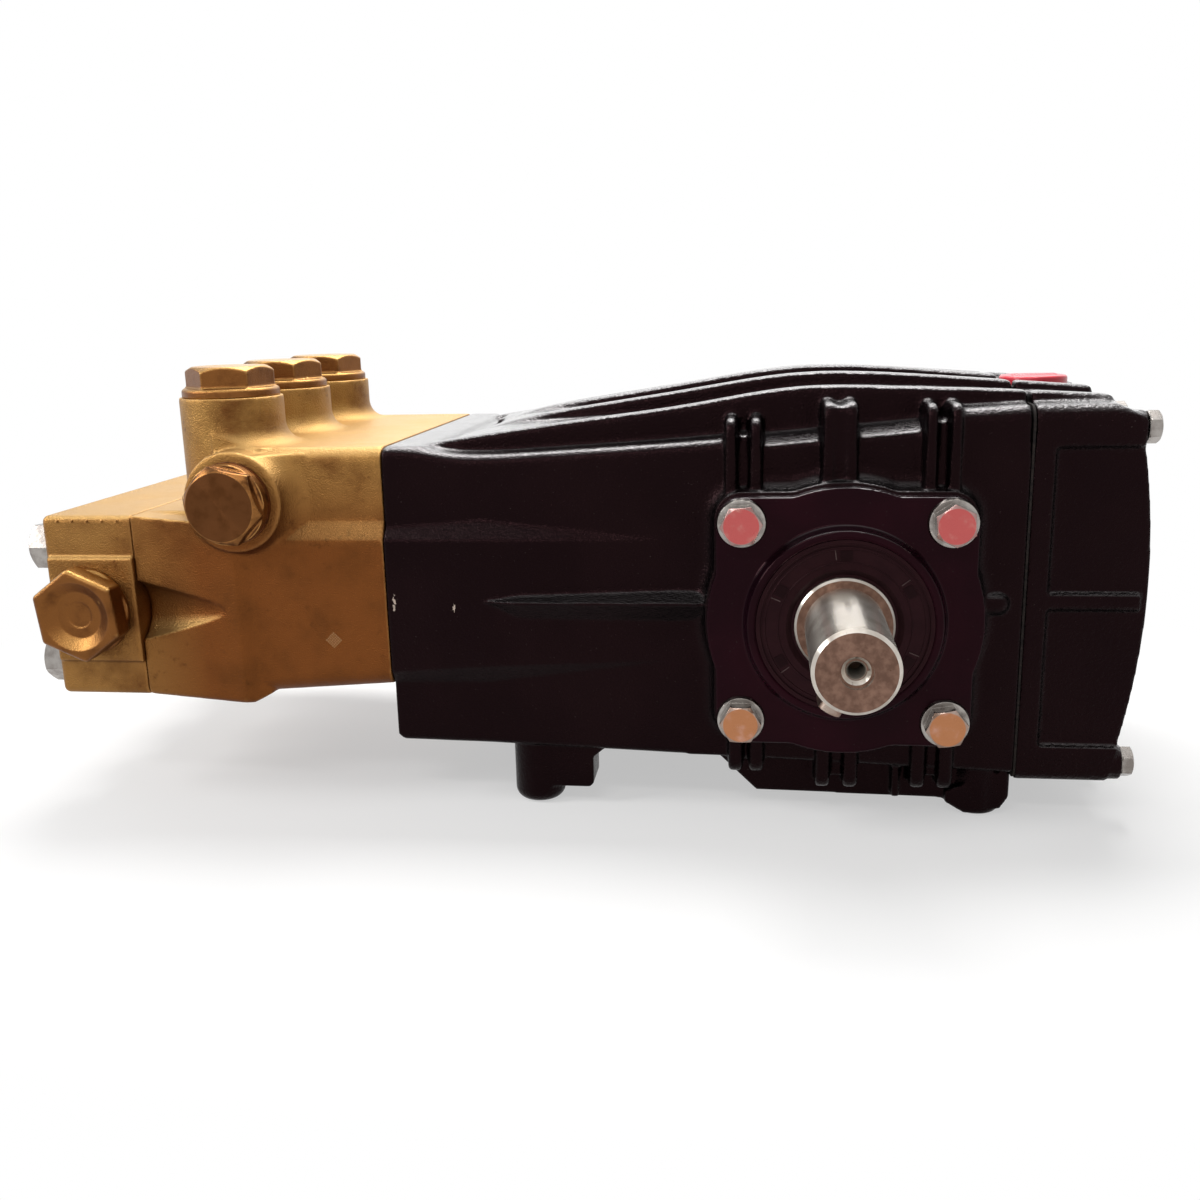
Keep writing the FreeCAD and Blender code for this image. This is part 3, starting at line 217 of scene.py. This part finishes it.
def blasted_brass(tree, place):
    """Bead-blasted forged brass, with painted light: pale gold high up, at its front end and where it faces
    up, over a darker brown of painted shade on its sides. Random stains, darker hollows, and edges rubbed
    bright under a painted highlight.
    """
    # Painted light: paler gold high up and towards the front end
    high_up = along(tree, place, "Z", start=0.105, full=0.145)
    front_end = along(tree, place, "X", start=-0.21, full=-0.25, most=0.7)
    painted_light_golden = add(tree, "ShaderNodeMath", {0: high_up, 1: front_end}, operation="MAXIMUM")
    smudge = mottle(tree, place, 26.0, low=0.42, high=0.78, detail=5.0, rough=0.6)
    blotch = mottle(tree, place, 5.0, low=0.6, high=0.8, detail=4.0, rough=0.6)
    # Painted light: paler where the surface faces up
    top = facing(tree, "Z", start=0.2, full=0.85)
    hollow = crest(tree, start=0.485, full=0.44, most=0.7)
    # Edges rubbed bright, with a painted highlight on them
    edge = crest(tree, start=0.52, full=0.58, most=0.6)
    # The dark brown base, which shows on the sides, is painted shade
    colour = coats(tree, "#734320", (painted_light_golden, "#9A7440"), (smudge, "#5E381B"), (blotch, "#583419"),
                   (top, "#B08C56"), (hollow, "#56341A"), (edge, "#B98A52"))
    gloss = add(tree, "ShaderNodeMapRange", {"Value": smudge, "To Min": 0.42, "To Max": 0.52})
    normal = relief(tree, (mottle(tree, place, blast_grain, detail=2.0), 0.11),
                    (mottle(tree, place, 6.0, detail=2.0), 0.06))
    return {"Base Color": colour, "Metallic": 1.0, "Roughness": gloss, "Normal": normal}


def turned_brass(tree, place):
    """Forged brass plugs and caps: blasted grain with milled flats, with painted light where they face up
    and a painted highlight on their rubbed edges.
    """
    stain = mottle(tree, place, 8.0, low=0.42, high=0.75, detail=5.0, rough=0.6)
    # Painted light: paler where the surface faces up
    top = facing(tree, "Z", start=0.2, full=0.9)
    # Edges rubbed bright, with a painted highlight on them
    edge = crest(tree, start=0.52, full=0.58, most=0.8)
    colour = coats(tree, "#7A4E28", (stain, "#643E20"), (top, "#A98049"), (edge, "#D9AE6C"))
    gloss = add(tree, "ShaderNodeMapRange", {"Value": stain, "To Min": 0.32, "To Max": 0.46})
    normal = relief(tree, (mottle(tree, place, blast_grain), 0.06))
    return {"Base Color": colour, "Metallic": 1.0, "Roughness": gloss, "Normal": normal}


def faced_brass(tree, place):
    """Brass plug faced on a lathe: fine rings stretch the light, over a face painted darker brown as shade,
    with random stains and a painted highlight on its rubbed edges.
    """
    low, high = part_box("delivery_plug")
    across = turned(tree, place, (low + high) / 2)
    # Painted shade: the face that looks forward is painted darker brown
    front = facing(tree, "Y", start=-0.9, full=-0.97)
    stain = mottle(tree, place, 6.0, low=0.45, detail=5.0, rough=0.6)
    # Edges rubbed bright, with a painted highlight on them
    edge = crest(tree, start=0.52, full=0.6)
    colour = coats(tree, "#8F6034", (front, "#5E3A20"), (stain, "#523119"), (edge, "#CFA566"))
    normal = relief(tree, (mottle(tree, place, lathe_grain, detail=2.0), 0.012))
    return {"Base Color": colour, "Metallic": 1.0, "Roughness": 0.27, "Normal": normal,
            "Anisotropic": 0.95, "Tangent": across}


def zinc_plate(tree, place):
    """Zinc-plated steel screws: silver flats, and tan head faces under a painted pink reflection that grows
    stronger higher up.
    """
    head_depth = 1.5 * MM
    ripple_mm = 1.6
    ripple_depth = 0.006 * MM
    head_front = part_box("drive_flange_bolt_1")[0].y
    # Painted reflection: a pink glow on the head faces, stronger higher up
    painted_pink_reflection = along(tree, place, "Z", start=0.06, full=0.1)
    bloom = mottle(tree, place, 5.0, low=0.35)
    rubbed = mottle(tree, place, 6.0, low=0.5, high=0.9, detail=4.0)
    depth = add(tree, "ShaderNodeSeparateXYZ", {0: place}, "Y")
    head = add(tree, "ShaderNodeMath", {0: depth, 1: head_front + head_depth}, operation="LESS_THAN")
    outward = facing(tree, "Y", start=-0.8, full=-0.95)
    head = add(tree, "ShaderNodeMath", {0: outward, 1: head}, operation="MULTIPLY")
    face = coats(tree, "#AA7350", (painted_pink_reflection, "#B85A58"), (rubbed, "#C49A8E"))
    colour = coats(tree, "#A19C97", (bloom, "#7F7873"), (head, face))
    gloss = add(tree, "ShaderNodeMapRange", {"Value": bloom, "To Min": 0.16, "To Max": 0.28})
    soft = add(tree, "ShaderNodeBevel", {"Radius": screw_edge}, samples=4)
    normal = add(tree, "ShaderNodeBump", {"Height": mottle(tree, place, ripple_mm),
                                          "Distance": ripple_depth, "Normal": soft})
    return {"Base Color": colour, "Metallic": 1.0, "Roughness": gloss, "Normal": normal}


def ground_steel(tree, place):
    """Ground shaft: a bright drum whose grinding marks stretch the light, with a dull brownish end."""
    stretch_across = (0.02, 1.0, 0.02)
    low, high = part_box("crankshaft")
    across = turned(tree, place, (low + high) / 2)
    end = facing(tree, "Y", start=-0.66, full=-0.9)
    film = mottle(tree, place, 9.0, low=0.35, detail=4.0)
    marks = mottle(tree, place, 3.0, low=0.35, detail=5.0)
    marks = add(tree, "ShaderNodeMath", {0: end, 1: marks}, operation="MULTIPLY")
    rust = mottle(tree, place, 2.0, low=0.7, high=0.74)
    colour = coats(tree, "#D6D0C7", (film, "#BDB5AA"), (end, "#6B5145"), (marks, "#87695A"),
                   (rust, "#4A2A1E"))
    gloss = add(tree, "ShaderNodeMapRange", {"Value": end, "To Min": 0.27, "To Max": 0.42})
    lines = add(tree, "ShaderNodeMapping", {"Vector": place, "Scale": stretch_across})
    normal = relief(tree, (mottle(tree, lines, grinding_grain), 0.004))
    return {"Base Color": colour, "Metallic": 1.0, "Roughness": gloss, "Normal": normal,
            "Anisotropic": 0.9, "Tangent": across}


def key_steel(tree, place):
    """Bright drawn key bar: a film of oil breaks its shine, and its eased edges catch the light."""
    film = mottle(tree, place, 5.0, detail=4.0)
    gloss = add(tree, "ShaderNodeMapRange", {"Value": film, "To Min": 0.25, "To Max": 0.42})
    soft = add(tree, "ShaderNodeBevel", {"Radius": key_edge}, samples=4)
    return {"Base Color": coats(tree, "#A8998E", (film, "#84685A")), "Metallic": 1.0, "Roughness": gloss,
            "Normal": soft}


def nitrile_rubber(tree, place, tone=("#170A0D", "#1E0E11")):
    """Moulded nitrile rubber of the shaft seal: dull and nearly black, with a fine mould grain."""
    colour = coats(tree, tone[0], (mottle(tree, place, 7.0), tone[1]))
    normal = relief(tree, (mottle(tree, place, mould_grain, detail=2.0), 0.01))
    # The rosy specular tint is a painted reflection, which gives the gloss a maroon cast
    return {"Base Color": colour, "Roughness": 0.34, "Normal": normal, "Specular IOR Level": 0.14,
            "Specular Tint": hex_colour("#FFB4BC")}


def fibre_gasket(tree, place):
    """Pressed fibre sheet, seen only as the thin dull line of the joint."""
    return {"Base Color": coats(tree, "#141010", (mottle(tree, place, 1.2), "#2A2320")), "Roughness": 0.8,
            "Specular IOR Level": 0.2}


def red_nylon(tree, place):
    """Injection-moulded red nylon cap: even colour under a soft gloss."""
    colour = coats(tree, "#C4162C", (mottle(tree, place, 6.0), "#DB2138"))
    normal = relief(tree, (mottle(tree, place, 1.0), 0.02))
    return {"Base Color": colour, "Roughness": 0.3, "Normal": normal}


def clear_acrylic(tree, place):
    """Acrylic sight window: the pale oil behind it, under a hard gloss."""
    return {"Base Color": coats(tree, "#C9B878", (mottle(tree, place, 5.0), "#DCCB93")), "Roughness": 0.12,
            "Coat Weight": 1.0, "Coat Roughness": 0.03}


def plated_washer(tree, place):
    """Sealing washer under the delivery plug: its plating has gone copper-brown and dull with oil."""
    film = mottle(tree, place, 2.5, detail=4.0)
    gloss = add(tree, "ShaderNodeMapRange", {"Value": film, "To Min": 0.28, "To Max": 0.45})
    return {"Base Color": coats(tree, "#8A5B40", (film, "#5E3C2B")), "Metallic": 1.0, "Roughness": gloss}


def peened_mark(tree, place):
    """Small dots of fresh metal, bright against the stained brass."""
    return {"Base Color": coats(tree, "#E2C79B", (mottle(tree, place, 0.6), "#C9A46E")), "Metallic": 1.0,
            "Roughness": 0.5}


def make_finish(name, paint, **options):
    """A node material that reads the pump's own coordinates."""
    material = bpy.data.materials.new(name)
    material.use_nodes = True
    tree = material.node_tree
    tree.nodes.clear()
    place = add(tree, "ShaderNodeTexCoord", out="Object")
    shader = add(tree, "ShaderNodeBsdfPrincipled", paint(tree, place, **options))
    add(tree, "ShaderNodeOutputMaterial", {"Surface": shader})
    return material


# Chips in the crankcase's paint, beside the brass: place and size in metres
paint_marks = (((-0.1352, -0.0786, 0.0835), (0.0009, 0.002, 0.0042)),
               ((-0.1122, -0.0786, 0.0825), (0.0006, 0.002, 0.0024)))
finishes = {
    "black_enamel": make_finish("gloss_black_enamel", gloss_enamel, marks=paint_marks),
    "textured_black_enamel": make_finish("textured_black_enamel", gloss_enamel, peel_mm=1.5, peel_depth=0.15,
                                         grain_depth=0.05, rough=(0.2, 0.34)),
    "flange_enamel": make_finish("smooth_black_enamel", gloss_enamel, peel_mm=6.0, peel_depth=0.015,
                                 grain_depth=0.004, rough=(0.1, 0.18), tone=("#12040A", "#1E060F")),
    "blasted_brass": make_finish("bead_blasted_brass", blasted_brass),
    "turned_brass": make_finish("forged_brass_plugs", turned_brass),
    "zinc_plated_steel": make_finish("bright_zinc_plate", zinc_plate),
    "ground_steel": make_finish("ground_steel", ground_steel),
    "key_steel": make_finish("drawn_key_steel", key_steel),
    "seal_rubber": make_finish("moulded_nitrile_rubber", nitrile_rubber),
    "gasket_fibre": make_finish("pressed_fibre_gasket", fibre_gasket),
    "red_plastic": make_finish("moulded_red_nylon", red_nylon),
    "clear_plastic": make_finish("clear_acrylic", clear_acrylic),
    "copper_washer": make_finish("plated_sealing_washer", plated_washer),
}
faced_plug = make_finish("lathe_faced_brass", faced_brass)
peened = make_finish("peened_brass_mark", peened_mark)
sunk_rubber = make_finish("dark_rubber_pads", nitrile_rubber, tone=("#070304", "#0B0506"))
worn_rubber = make_finish("worn_rubber_marks", nitrile_rubber, tone=("#5B4E4C", "#3A2F2F"))
slot_of = {name: node.active_material.name.split(".")[0] for name, node in nodes.items()}
for name, node in nodes.items():
    node.data.materials.clear()
    node.data.materials.append(faced_plug if name == "delivery_plug" else finishes[slot_of[name]])


# Softened copies of the castings and forgings


def bake(piece):
    """Turns a piece's modifiers into its plain mesh."""
    seen = piece.evaluated_get(bpy.context.evaluated_depsgraph_get())
    mesh = bpy.data.meshes.new_from_object(seen)
    piece.modifiers.clear()
    piece.data = mesh


def round_fins(piece):
    """Rounds the fins of the crown, which the sand mould left full and soft."""
    crown = piece.vertex_groups.new(name="crown")
    for corner in piece.data.vertices:
        share = min(max((corner.co.z - fin_foot) / fin_blend, 0.0), 1.0)
        if share > 0.0:
            crown.add([corner.index], share, "REPLACE")
    soften = piece.modifiers.new("soften", "SMOOTH")
    soften.factor = ease_share
    soften.iterations = fin_passes
    soften.vertex_group = "crown"
    bake(piece)
    piece.vertex_groups.clear()


def cast_copy(node_name, voxel_mm, passes):
    """A CAD node's shape with the soft edges and blends of the real metal."""
    material = nodes[node_name].active_material
    mesh = nodes[node_name].data.copy()
    work = bmesh.new()
    work.from_mesh(mesh)
    bmesh.ops.remove_doubles(work, verts=work.verts, dist=weld_gap)
    work.to_mesh(mesh)
    work.free()
    piece = bpy.data.objects.new(node_name + "_casting", mesh)
    bpy.context.scene.collection.objects.link(piece)
    remesh = piece.modifiers.new("voxels", "REMESH")
    remesh.mode = "VOXEL"
    remesh.voxel_size = voxel_mm * MM
    ease = piece.modifiers.new("ease", "SMOOTH")
    ease.factor = ease_share
    ease.iterations = passes
    bake(piece)
    if node_name in finned:
        round_fins(piece)
    triangles = sum(len(face.vertices) - 2 for face in piece.data.polygons)
    most = small_triangles if max(piece.dimensions) < small_size else casting_triangles
    if triangles > most:
        thin = piece.modifiers.new("thin", "DECIMATE")
        thin.ratio = most / triangles
        bake(piece)
    piece.data.shade_smooth()
    piece.data.materials.clear()
    piece.data.materials.append(material)
    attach(piece, BODY)
    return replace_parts(piece, node_name)


for casting, (voxel, ease_passes) in castings.items():
    cast_copy(casting, voxel, ease_passes)


# Small forms that repeat: threads, dots, ridges and the marks moulded in the seal

upright = Matrix.Identity(4)
to_front = Matrix.Rotation(math.radians(90), 4, "X")
to_back = Matrix.Rotation(math.radians(-90), 4, "X")
diamond = to_front @ Matrix.Rotation(math.radians(45), 4, "Z")

# Threads: place in metres, then radius, depth and pitch in metres
far_ports = (("delivery_port_thread", (-0.19395, 0.0832, 0.1232), (0.0093, 0.0165, 0.0018)),
             ("suction_port_thread", (-0.25615, 0.0832, 0.0813), (0.0121, 0.0185, 0.0023)))
foot_x = 0.08475
foot_y = 0.06
foot_thread_start = 1.2 * MM
foot_thread = (4.25 * MM, 14 * MM, 1.5 * MM)
shaft_x = 0.03175
shaft_z = 0.08
centre_thread_start = 3.0 * MM
centre_thread = (3.4 * MM, 12 * MM, 1.25 * MM)
thread_steps = 40           # corners in one turn of a thread
ridge_corners = 3
ridge_share = 0.55          # radius of the triangular ridge, as a share of the pitch

# Marks on the brass and in the seal
dot_patch = (-0.16015, -0.0786, 0.069)
dots = {"Columns": 6, "Rows": 6, "Width": 4 * MM, "Height": 4 * MM, "Pin Radius": 0.17 * MM,
        "Pin Length": 0.12 * MM}
ridge_row = (-0.25415, -0.0812, 0.1161)
ridges = {"Columns": 5, "Rows": 1, "Width": 24.4 * MM, "Height": 0.0, "Pin Radius": 0.5 * MM,
          "Pin Length": 2.4 * MM}
seal_pads = {"Count": 6, "Radius": 25.5 * MM, "Size": (3.4 * MM, 4.2 * MM, 0.6 * MM),
             "Start": math.radians(30)}
seal_ticks = {"Count": 6, "Radius": 26.0 * MM, "Size": (3.6 * MM, 0.3 * MM, 0.5 * MM),
              "Start": math.radians(38)}
seal_lines = (23.2 * MM, 27.8 * MM, 29.6 * MM)
seal_line_radius = 0.24 * MM
pin_corners = 14
block_corners = 4           # along each side of a block's flat face
ring_corners = 128
bead_corners = 8


def new_tree(name, sockets):
    """A geometry tree with named inputs, and the sockets that give them."""
    tree = bpy.data.node_groups.new(name, "GeometryNodeTree")
    tree.interface.new_socket("Geometry", in_out="OUTPUT", socket_type="NodeSocketGeometry")
    for label, kind in sockets.items():
        tree.interface.new_socket(label, in_out="INPUT", socket_type="NodeSocket" + kind)
    return tree, tree.nodes.new("NodeGroupInput").outputs


def close_tree(tree, shape, finish):
    """Ends a geometry tree in plain geometry with its finish."""
    shape = add(tree, "GeometryNodeRealizeInstances", {"Geometry": shape})
    shape = add(tree, "GeometryNodeSetMaterial", {"Geometry": shape, "Material": finish})
    add(tree, "NodeGroupOutput", {"Geometry": shape})
    return tree


def thread_tree():
    """A helical ridge with a triangular section, standing on Z."""
    tree, given = new_tree("helical_thread", {"Radius": "Float", "Depth": "Float", "Pitch": "Float",
                                              "Finish": "Material"})
    turns = add(tree, "ShaderNodeMath", {0: given["Depth"], 1: given["Pitch"]}, operation="DIVIDE")
    helix = add(tree, "GeometryNodeCurveSpiral", {"Resolution": thread_steps, "Rotations": turns,
                                                  "Start Radius": given["Radius"],
                                                  "End Radius": given["Radius"], "Height": given["Depth"]})
    helix = add(tree, "GeometryNodeSetCurveNormal", {"Curve": helix}, mode="Z_UP")
    half = add(tree, "ShaderNodeMath", {0: given["Pitch"], 1: ridge_share}, operation="MULTIPLY")
    ridge = add(tree, "GeometryNodeCurvePrimitiveCircle", {"Resolution": ridge_corners, "Radius": half},
                mode="RADIUS")
    shape = add(tree, "GeometryNodeCurveToMesh", {"Curve": helix, "Profile Curve": ridge, "Fill Caps": True})
    return close_tree(tree, shape, given["Finish"])


def pins_tree():
    """Short round pins along Z, in columns and rows."""
    tree, given = new_tree("rows_of_pins", {"Columns": "Int", "Rows": "Int", "Width": "Float",
                                            "Height": "Float", "Pin Radius": "Float",
                                            "Pin Length": "Float", "Finish": "Material"})
    spots = add(tree, "GeometryNodeMeshGrid", {"Size X": given["Width"], "Size Y": given["Height"],
                                               "Vertices X": given["Columns"], "Vertices Y": given["Rows"]})
    pin = add(tree, "GeometryNodeMeshCylinder", {"Vertices": pin_corners, "Radius": given["Pin Radius"],
                                                 "Depth": given["Pin Length"]})
    shape = add(tree, "GeometryNodeInstanceOnPoints", {"Points": spots, "Instance": pin})
    return close_tree(tree, shape, given["Finish"])


def spokes_tree():
    """Blocks set round Z, each pointing outwards."""
    tree, given = new_tree("ring_of_blocks", {"Count": "Int", "Radius": "Float", "Size": "Vector",
                                              "Start": "Float", "Finish": "Material"})
    block = add(tree, "GeometryNodeMeshCube", {"Size": given["Size"], "Vertices X": block_corners,
                                               "Vertices Y": block_corners})
    reach = add(tree, "ShaderNodeCombineXYZ", {"X": given["Radius"]})
    block = add(tree, "GeometryNodeTransform", {"Geometry": block, "Translation": reach})
    spots = add(tree, "GeometryNodeMeshLine", {"Count": given["Count"], "Offset": (0.0, 0.0, 0.0)})
    step = add(tree, "ShaderNodeMath", {0: math.tau, 1: given["Count"]}, operation="DIVIDE")
    number = add(tree, "GeometryNodeInputIndex")
    angle = add(tree, "ShaderNodeMath", {0: number, 1: step, 2: given["Start"]}, operation="MULTIPLY_ADD")
    turn = add(tree, "ShaderNodeCombineXYZ", {"Z": angle})
    shape = add(tree, "GeometryNodeInstanceOnPoints", {"Points": spots, "Instance": block, "Rotation": turn})
    return close_tree(tree, shape, given["Finish"])


def ring_tree():
    """A round moulded line, lying flat round Z."""
    tree, given = new_tree("moulded_ring", {"Radius": "Float", "Thickness": "Float", "Finish": "Material"})
    path = add(tree, "GeometryNodeCurvePrimitiveCircle", {"Resolution": ring_corners,
                                                          "Radius": given["Radius"]}, mode="RADIUS")
    bead = add(tree, "GeometryNodeCurvePrimitiveCircle", {"Resolution": bead_corners,
                                                          "Radius": given["Thickness"]}, mode="RADIUS")
    shape = add(tree, "GeometryNodeCurveToMesh", {"Curve": path, "Profile Curve": bead})
    return close_tree(tree, shape, given["Finish"])


def grow(name, tree, values, place, turn, finish_slot, body=BODY, material=None):
    """Makes one plain mesh from a tree, puts it in place, and lets it ride on a body."""
    piece = bpy.data.objects.new(name, bpy.data.meshes.new(name))
    bpy.context.scene.collection.objects.link(piece)
    live = piece.modifiers.new("tree", "NODES")
    live.node_group = tree
    values = dict(values, Finish=material or finishes[finish_slot])
    for item in tree.interface.items_tree:
        if item.in_out == "INPUT":
            live[item.identifier] = values[item.name]
    bake(piece)
    piece.data.transform(Matrix.Translation(place) @ turn)
    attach(piece, body)
    return piece


def add_threads():
    """Threads in the open ports on the far side, in the feet and in the shaft's centre hole."""
    threads = thread_tree()
    feet = [(end * foot_x, side * foot_y, foot_thread_start) for side in (-1, 1) for end in (-1, 1)]
    centre = (shaft_x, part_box("crankshaft")[0].y + centre_thread_start, shaft_z)
    holes = [(name, place, to_front, size, "blasted_brass", BODY) for name, place, size in far_ports]
    holes += [("foot_thread_" + str(number), place, upright, foot_thread, "black_enamel", BODY)
              for number, place in enumerate(feet, 1)]
    holes.append(("centre_hole_thread", centre, to_back, centre_thread, "ground_steel", SHAFT_BODY))
    for name, place, turn, (radius, depth, pitch), finish_slot, body in holes:
        values = {"Radius": radius, "Depth": depth, "Pitch": pitch}
        grow(name, threads, values, place, turn, finish_slot, body)


def add_marks():
    """Dots and ridges on the brass, and the pads, ticks and lines moulded in the seal."""
    pins = pins_tree()
    blocks = spokes_tree()
    rings = ring_tree()
    seal = (shaft_x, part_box("shaft_seal")[0].y, shaft_z)
    grow("punched_dots", pins, dots, dot_patch, diamond, "blasted_brass", material=peened)
    grow("edge_ridges", pins, ridges, ridge_row, to_front, "blasted_brass")
    grow("seal_pads", blocks, seal_pads, seal, to_front, "seal_rubber", material=sunk_rubber)
    grow("seal_ticks", blocks, seal_ticks, seal, to_front, "seal_rubber", material=worn_rubber)
    for number, radius in enumerate(seal_lines, 1):
        grow("seal_line_" + str(number), rings, {"Radius": radius, "Thickness": seal_line_radius}, seal,
             to_front, "seal_rubber")


add_threads()
add_marks()


# Floor, light and camera

floor_reach = 6.0           # metres from the middle to each side
floor_level = -0.1 * MM     # just under the feet, so that no two faces coincide
shadow_middle = (-0.05, 0.0, 0.0)
shadow_reach = (0.3, 0.17, 1.0)     # metres to each side
shadow_end = 0.75           # in shadow reaches, where the floor starts to turn white
white_start = 1.6           # where it is plain white
least_white = 0.5           # share of white under the pump, which keeps the shadow pale
plain_white = (1.0, 1.0, 1.0, 1.0)
world_light = 0.3           # share of white in the light that reaches the pump from all round
pump_middle = (-0.05, 0.0, 0.08)

# Soft lamps: name, place, width and height in metres, and power in watts
lamps = (
    ("back_softbox", (0.05, 1.1, 0.62), 1.8, 0.6, 3.2),
    ("top_softbox", (-0.05, 0.33, 0.95), 0.8, 0.45, 12.5),
    ("left_softbox", (-0.9, -0.35, 0.6), 0.3, 0.4, 4.4),
    ("front_strip", (-0.25, -0.75, 0.75), 0.5, 0.08, 1.4),
)


def seen_directly(tree):
    """1 for rays that the camera, a reflection or clear plastic sends out."""
    rays = add(tree, "ShaderNodeLightPath").node.outputs
    amount = rays["Is Camera Ray"]
    for kind in ("Is Glossy Ray", "Is Transmission Ray"):
        amount = add(tree, "ShaderNodeMath", {0: amount, 1: rays[kind]}, operation="ADD", use_clamp=True)
    return amount


def studio_floor():
    """Pale floor that keeps the shadow near the pump and is plain white further out."""
    mesh = bpy.data.meshes.new("floor")
    sides = ((-1, -1), (1, -1), (1, 1), (-1, 1))
    corners = [(x * floor_reach, y * floor_reach, floor_level) for x, y in sides]
    mesh.from_pydata(corners, [], [(0, 1, 2, 3)])
    floor = bpy.data.objects.new("floor", mesh)
    bpy.context.scene.collection.objects.link(floor)
    material = bpy.data.materials.new("pale_studio_paper")
    material.use_nodes = True
    tree = material.node_tree
    tree.nodes.clear()
    place = add(tree, "ShaderNodeTexCoord", out="Object")
    far = add(tree, "ShaderNodeMapping", {"Vector": place, "Location": shadow_middle, "Scale": shadow_reach},
              vector_type="TEXTURE")
    far = add(tree, "ShaderNodeVectorMath", {0: far}, "Value", operation="LENGTH")
    far = add(tree, "ShaderNodeMapRange", {"Value": far, "From Min": shadow_end, "From Max": white_start,
                                           "To Min": least_white}, interpolation_type="SMOOTHSTEP")
    amount = add(tree, "ShaderNodeMath", {0: seen_directly(tree), 1: far}, operation="MULTIPLY")
    paper = add(tree, "ShaderNodeBsdfDiffuse", {"Color": hex_colour("#F6F5F4")})
    white = add(tree, "ShaderNodeEmission", {"Strength": 1.0})
    mixed = add(tree, "ShaderNodeMixShader", {0: amount, 1: paper, 2: white})
    add(tree, "ShaderNodeOutputMaterial", {"Surface": mixed})
    mesh.materials.append(material)


def white_surroundings():
    """World that looks white, and lights the pump only softly."""
    world = bpy.data.worlds.new("white_surroundings")
    bpy.context.scene.world = world
    world.use_nodes = True
    tree = world.node_tree
    tree.nodes.clear()
    soft = add(tree, "ShaderNodeBackground", {"Color": plain_white, "Strength": world_light})
    white = add(tree, "ShaderNodeBackground", {"Color": plain_white, "Strength": 1.0})
    mixed = add(tree, "ShaderNodeMixShader", {0: seen_directly(tree), 1: soft, 2: white})
    add(tree, "ShaderNodeOutputWorld", {"Surface": mixed})


def softbox(name, place, width, height, watts):
    """Area lamp aimed at the pump, unseen by the camera."""
    lamp = bpy.data.lights.new(name, "AREA")
    lamp.shape = "RECTANGLE"
    lamp.size = width
    lamp.size_y = height
    lamp.energy = watts
    holder = bpy.data.objects.new(name, lamp)
    holder.location = place
    holder.rotation_euler = (Vector(pump_middle) - Vector(place)).to_track_quat("-Z", "Y").to_euler()
    holder.visible_camera = False
    bpy.context.scene.collection.objects.link(holder)


def photo_camera():
    """Camera with the place, aim and lens that were fitted to the photograph."""
    lens = bpy.data.cameras.new("photo_camera")
    lens.sensor_width = camera_sensor
    lens.lens = camera_lens
    camera = bpy.data.objects.new("photo_camera", lens)
    turn = Matrix.Rotation(math.radians(camera_yaw), 3, "Z")
    turn = turn @ Matrix.Rotation(math.radians(camera_pitch), 3, "X")
    turn = turn @ Matrix.Rotation(math.radians(camera_roll), 3, "Y")
    # A new camera looks straight down, so it is first brought level
    level = Matrix.Rotation(math.radians(90), 3, "X")
    camera.rotation_euler = (turn @ level).to_euler()
    camera.location = camera_place
    bpy.context.scene.collection.objects.link(camera)
    bpy.context.scene.camera = camera


studio_floor()
white_surroundings()
for name, place, width, height, watts in lamps:
    softbox(name, place, width, height, watts)
photo_camera()
bpy.context.scene.view_settings.view_transform = "Standard"
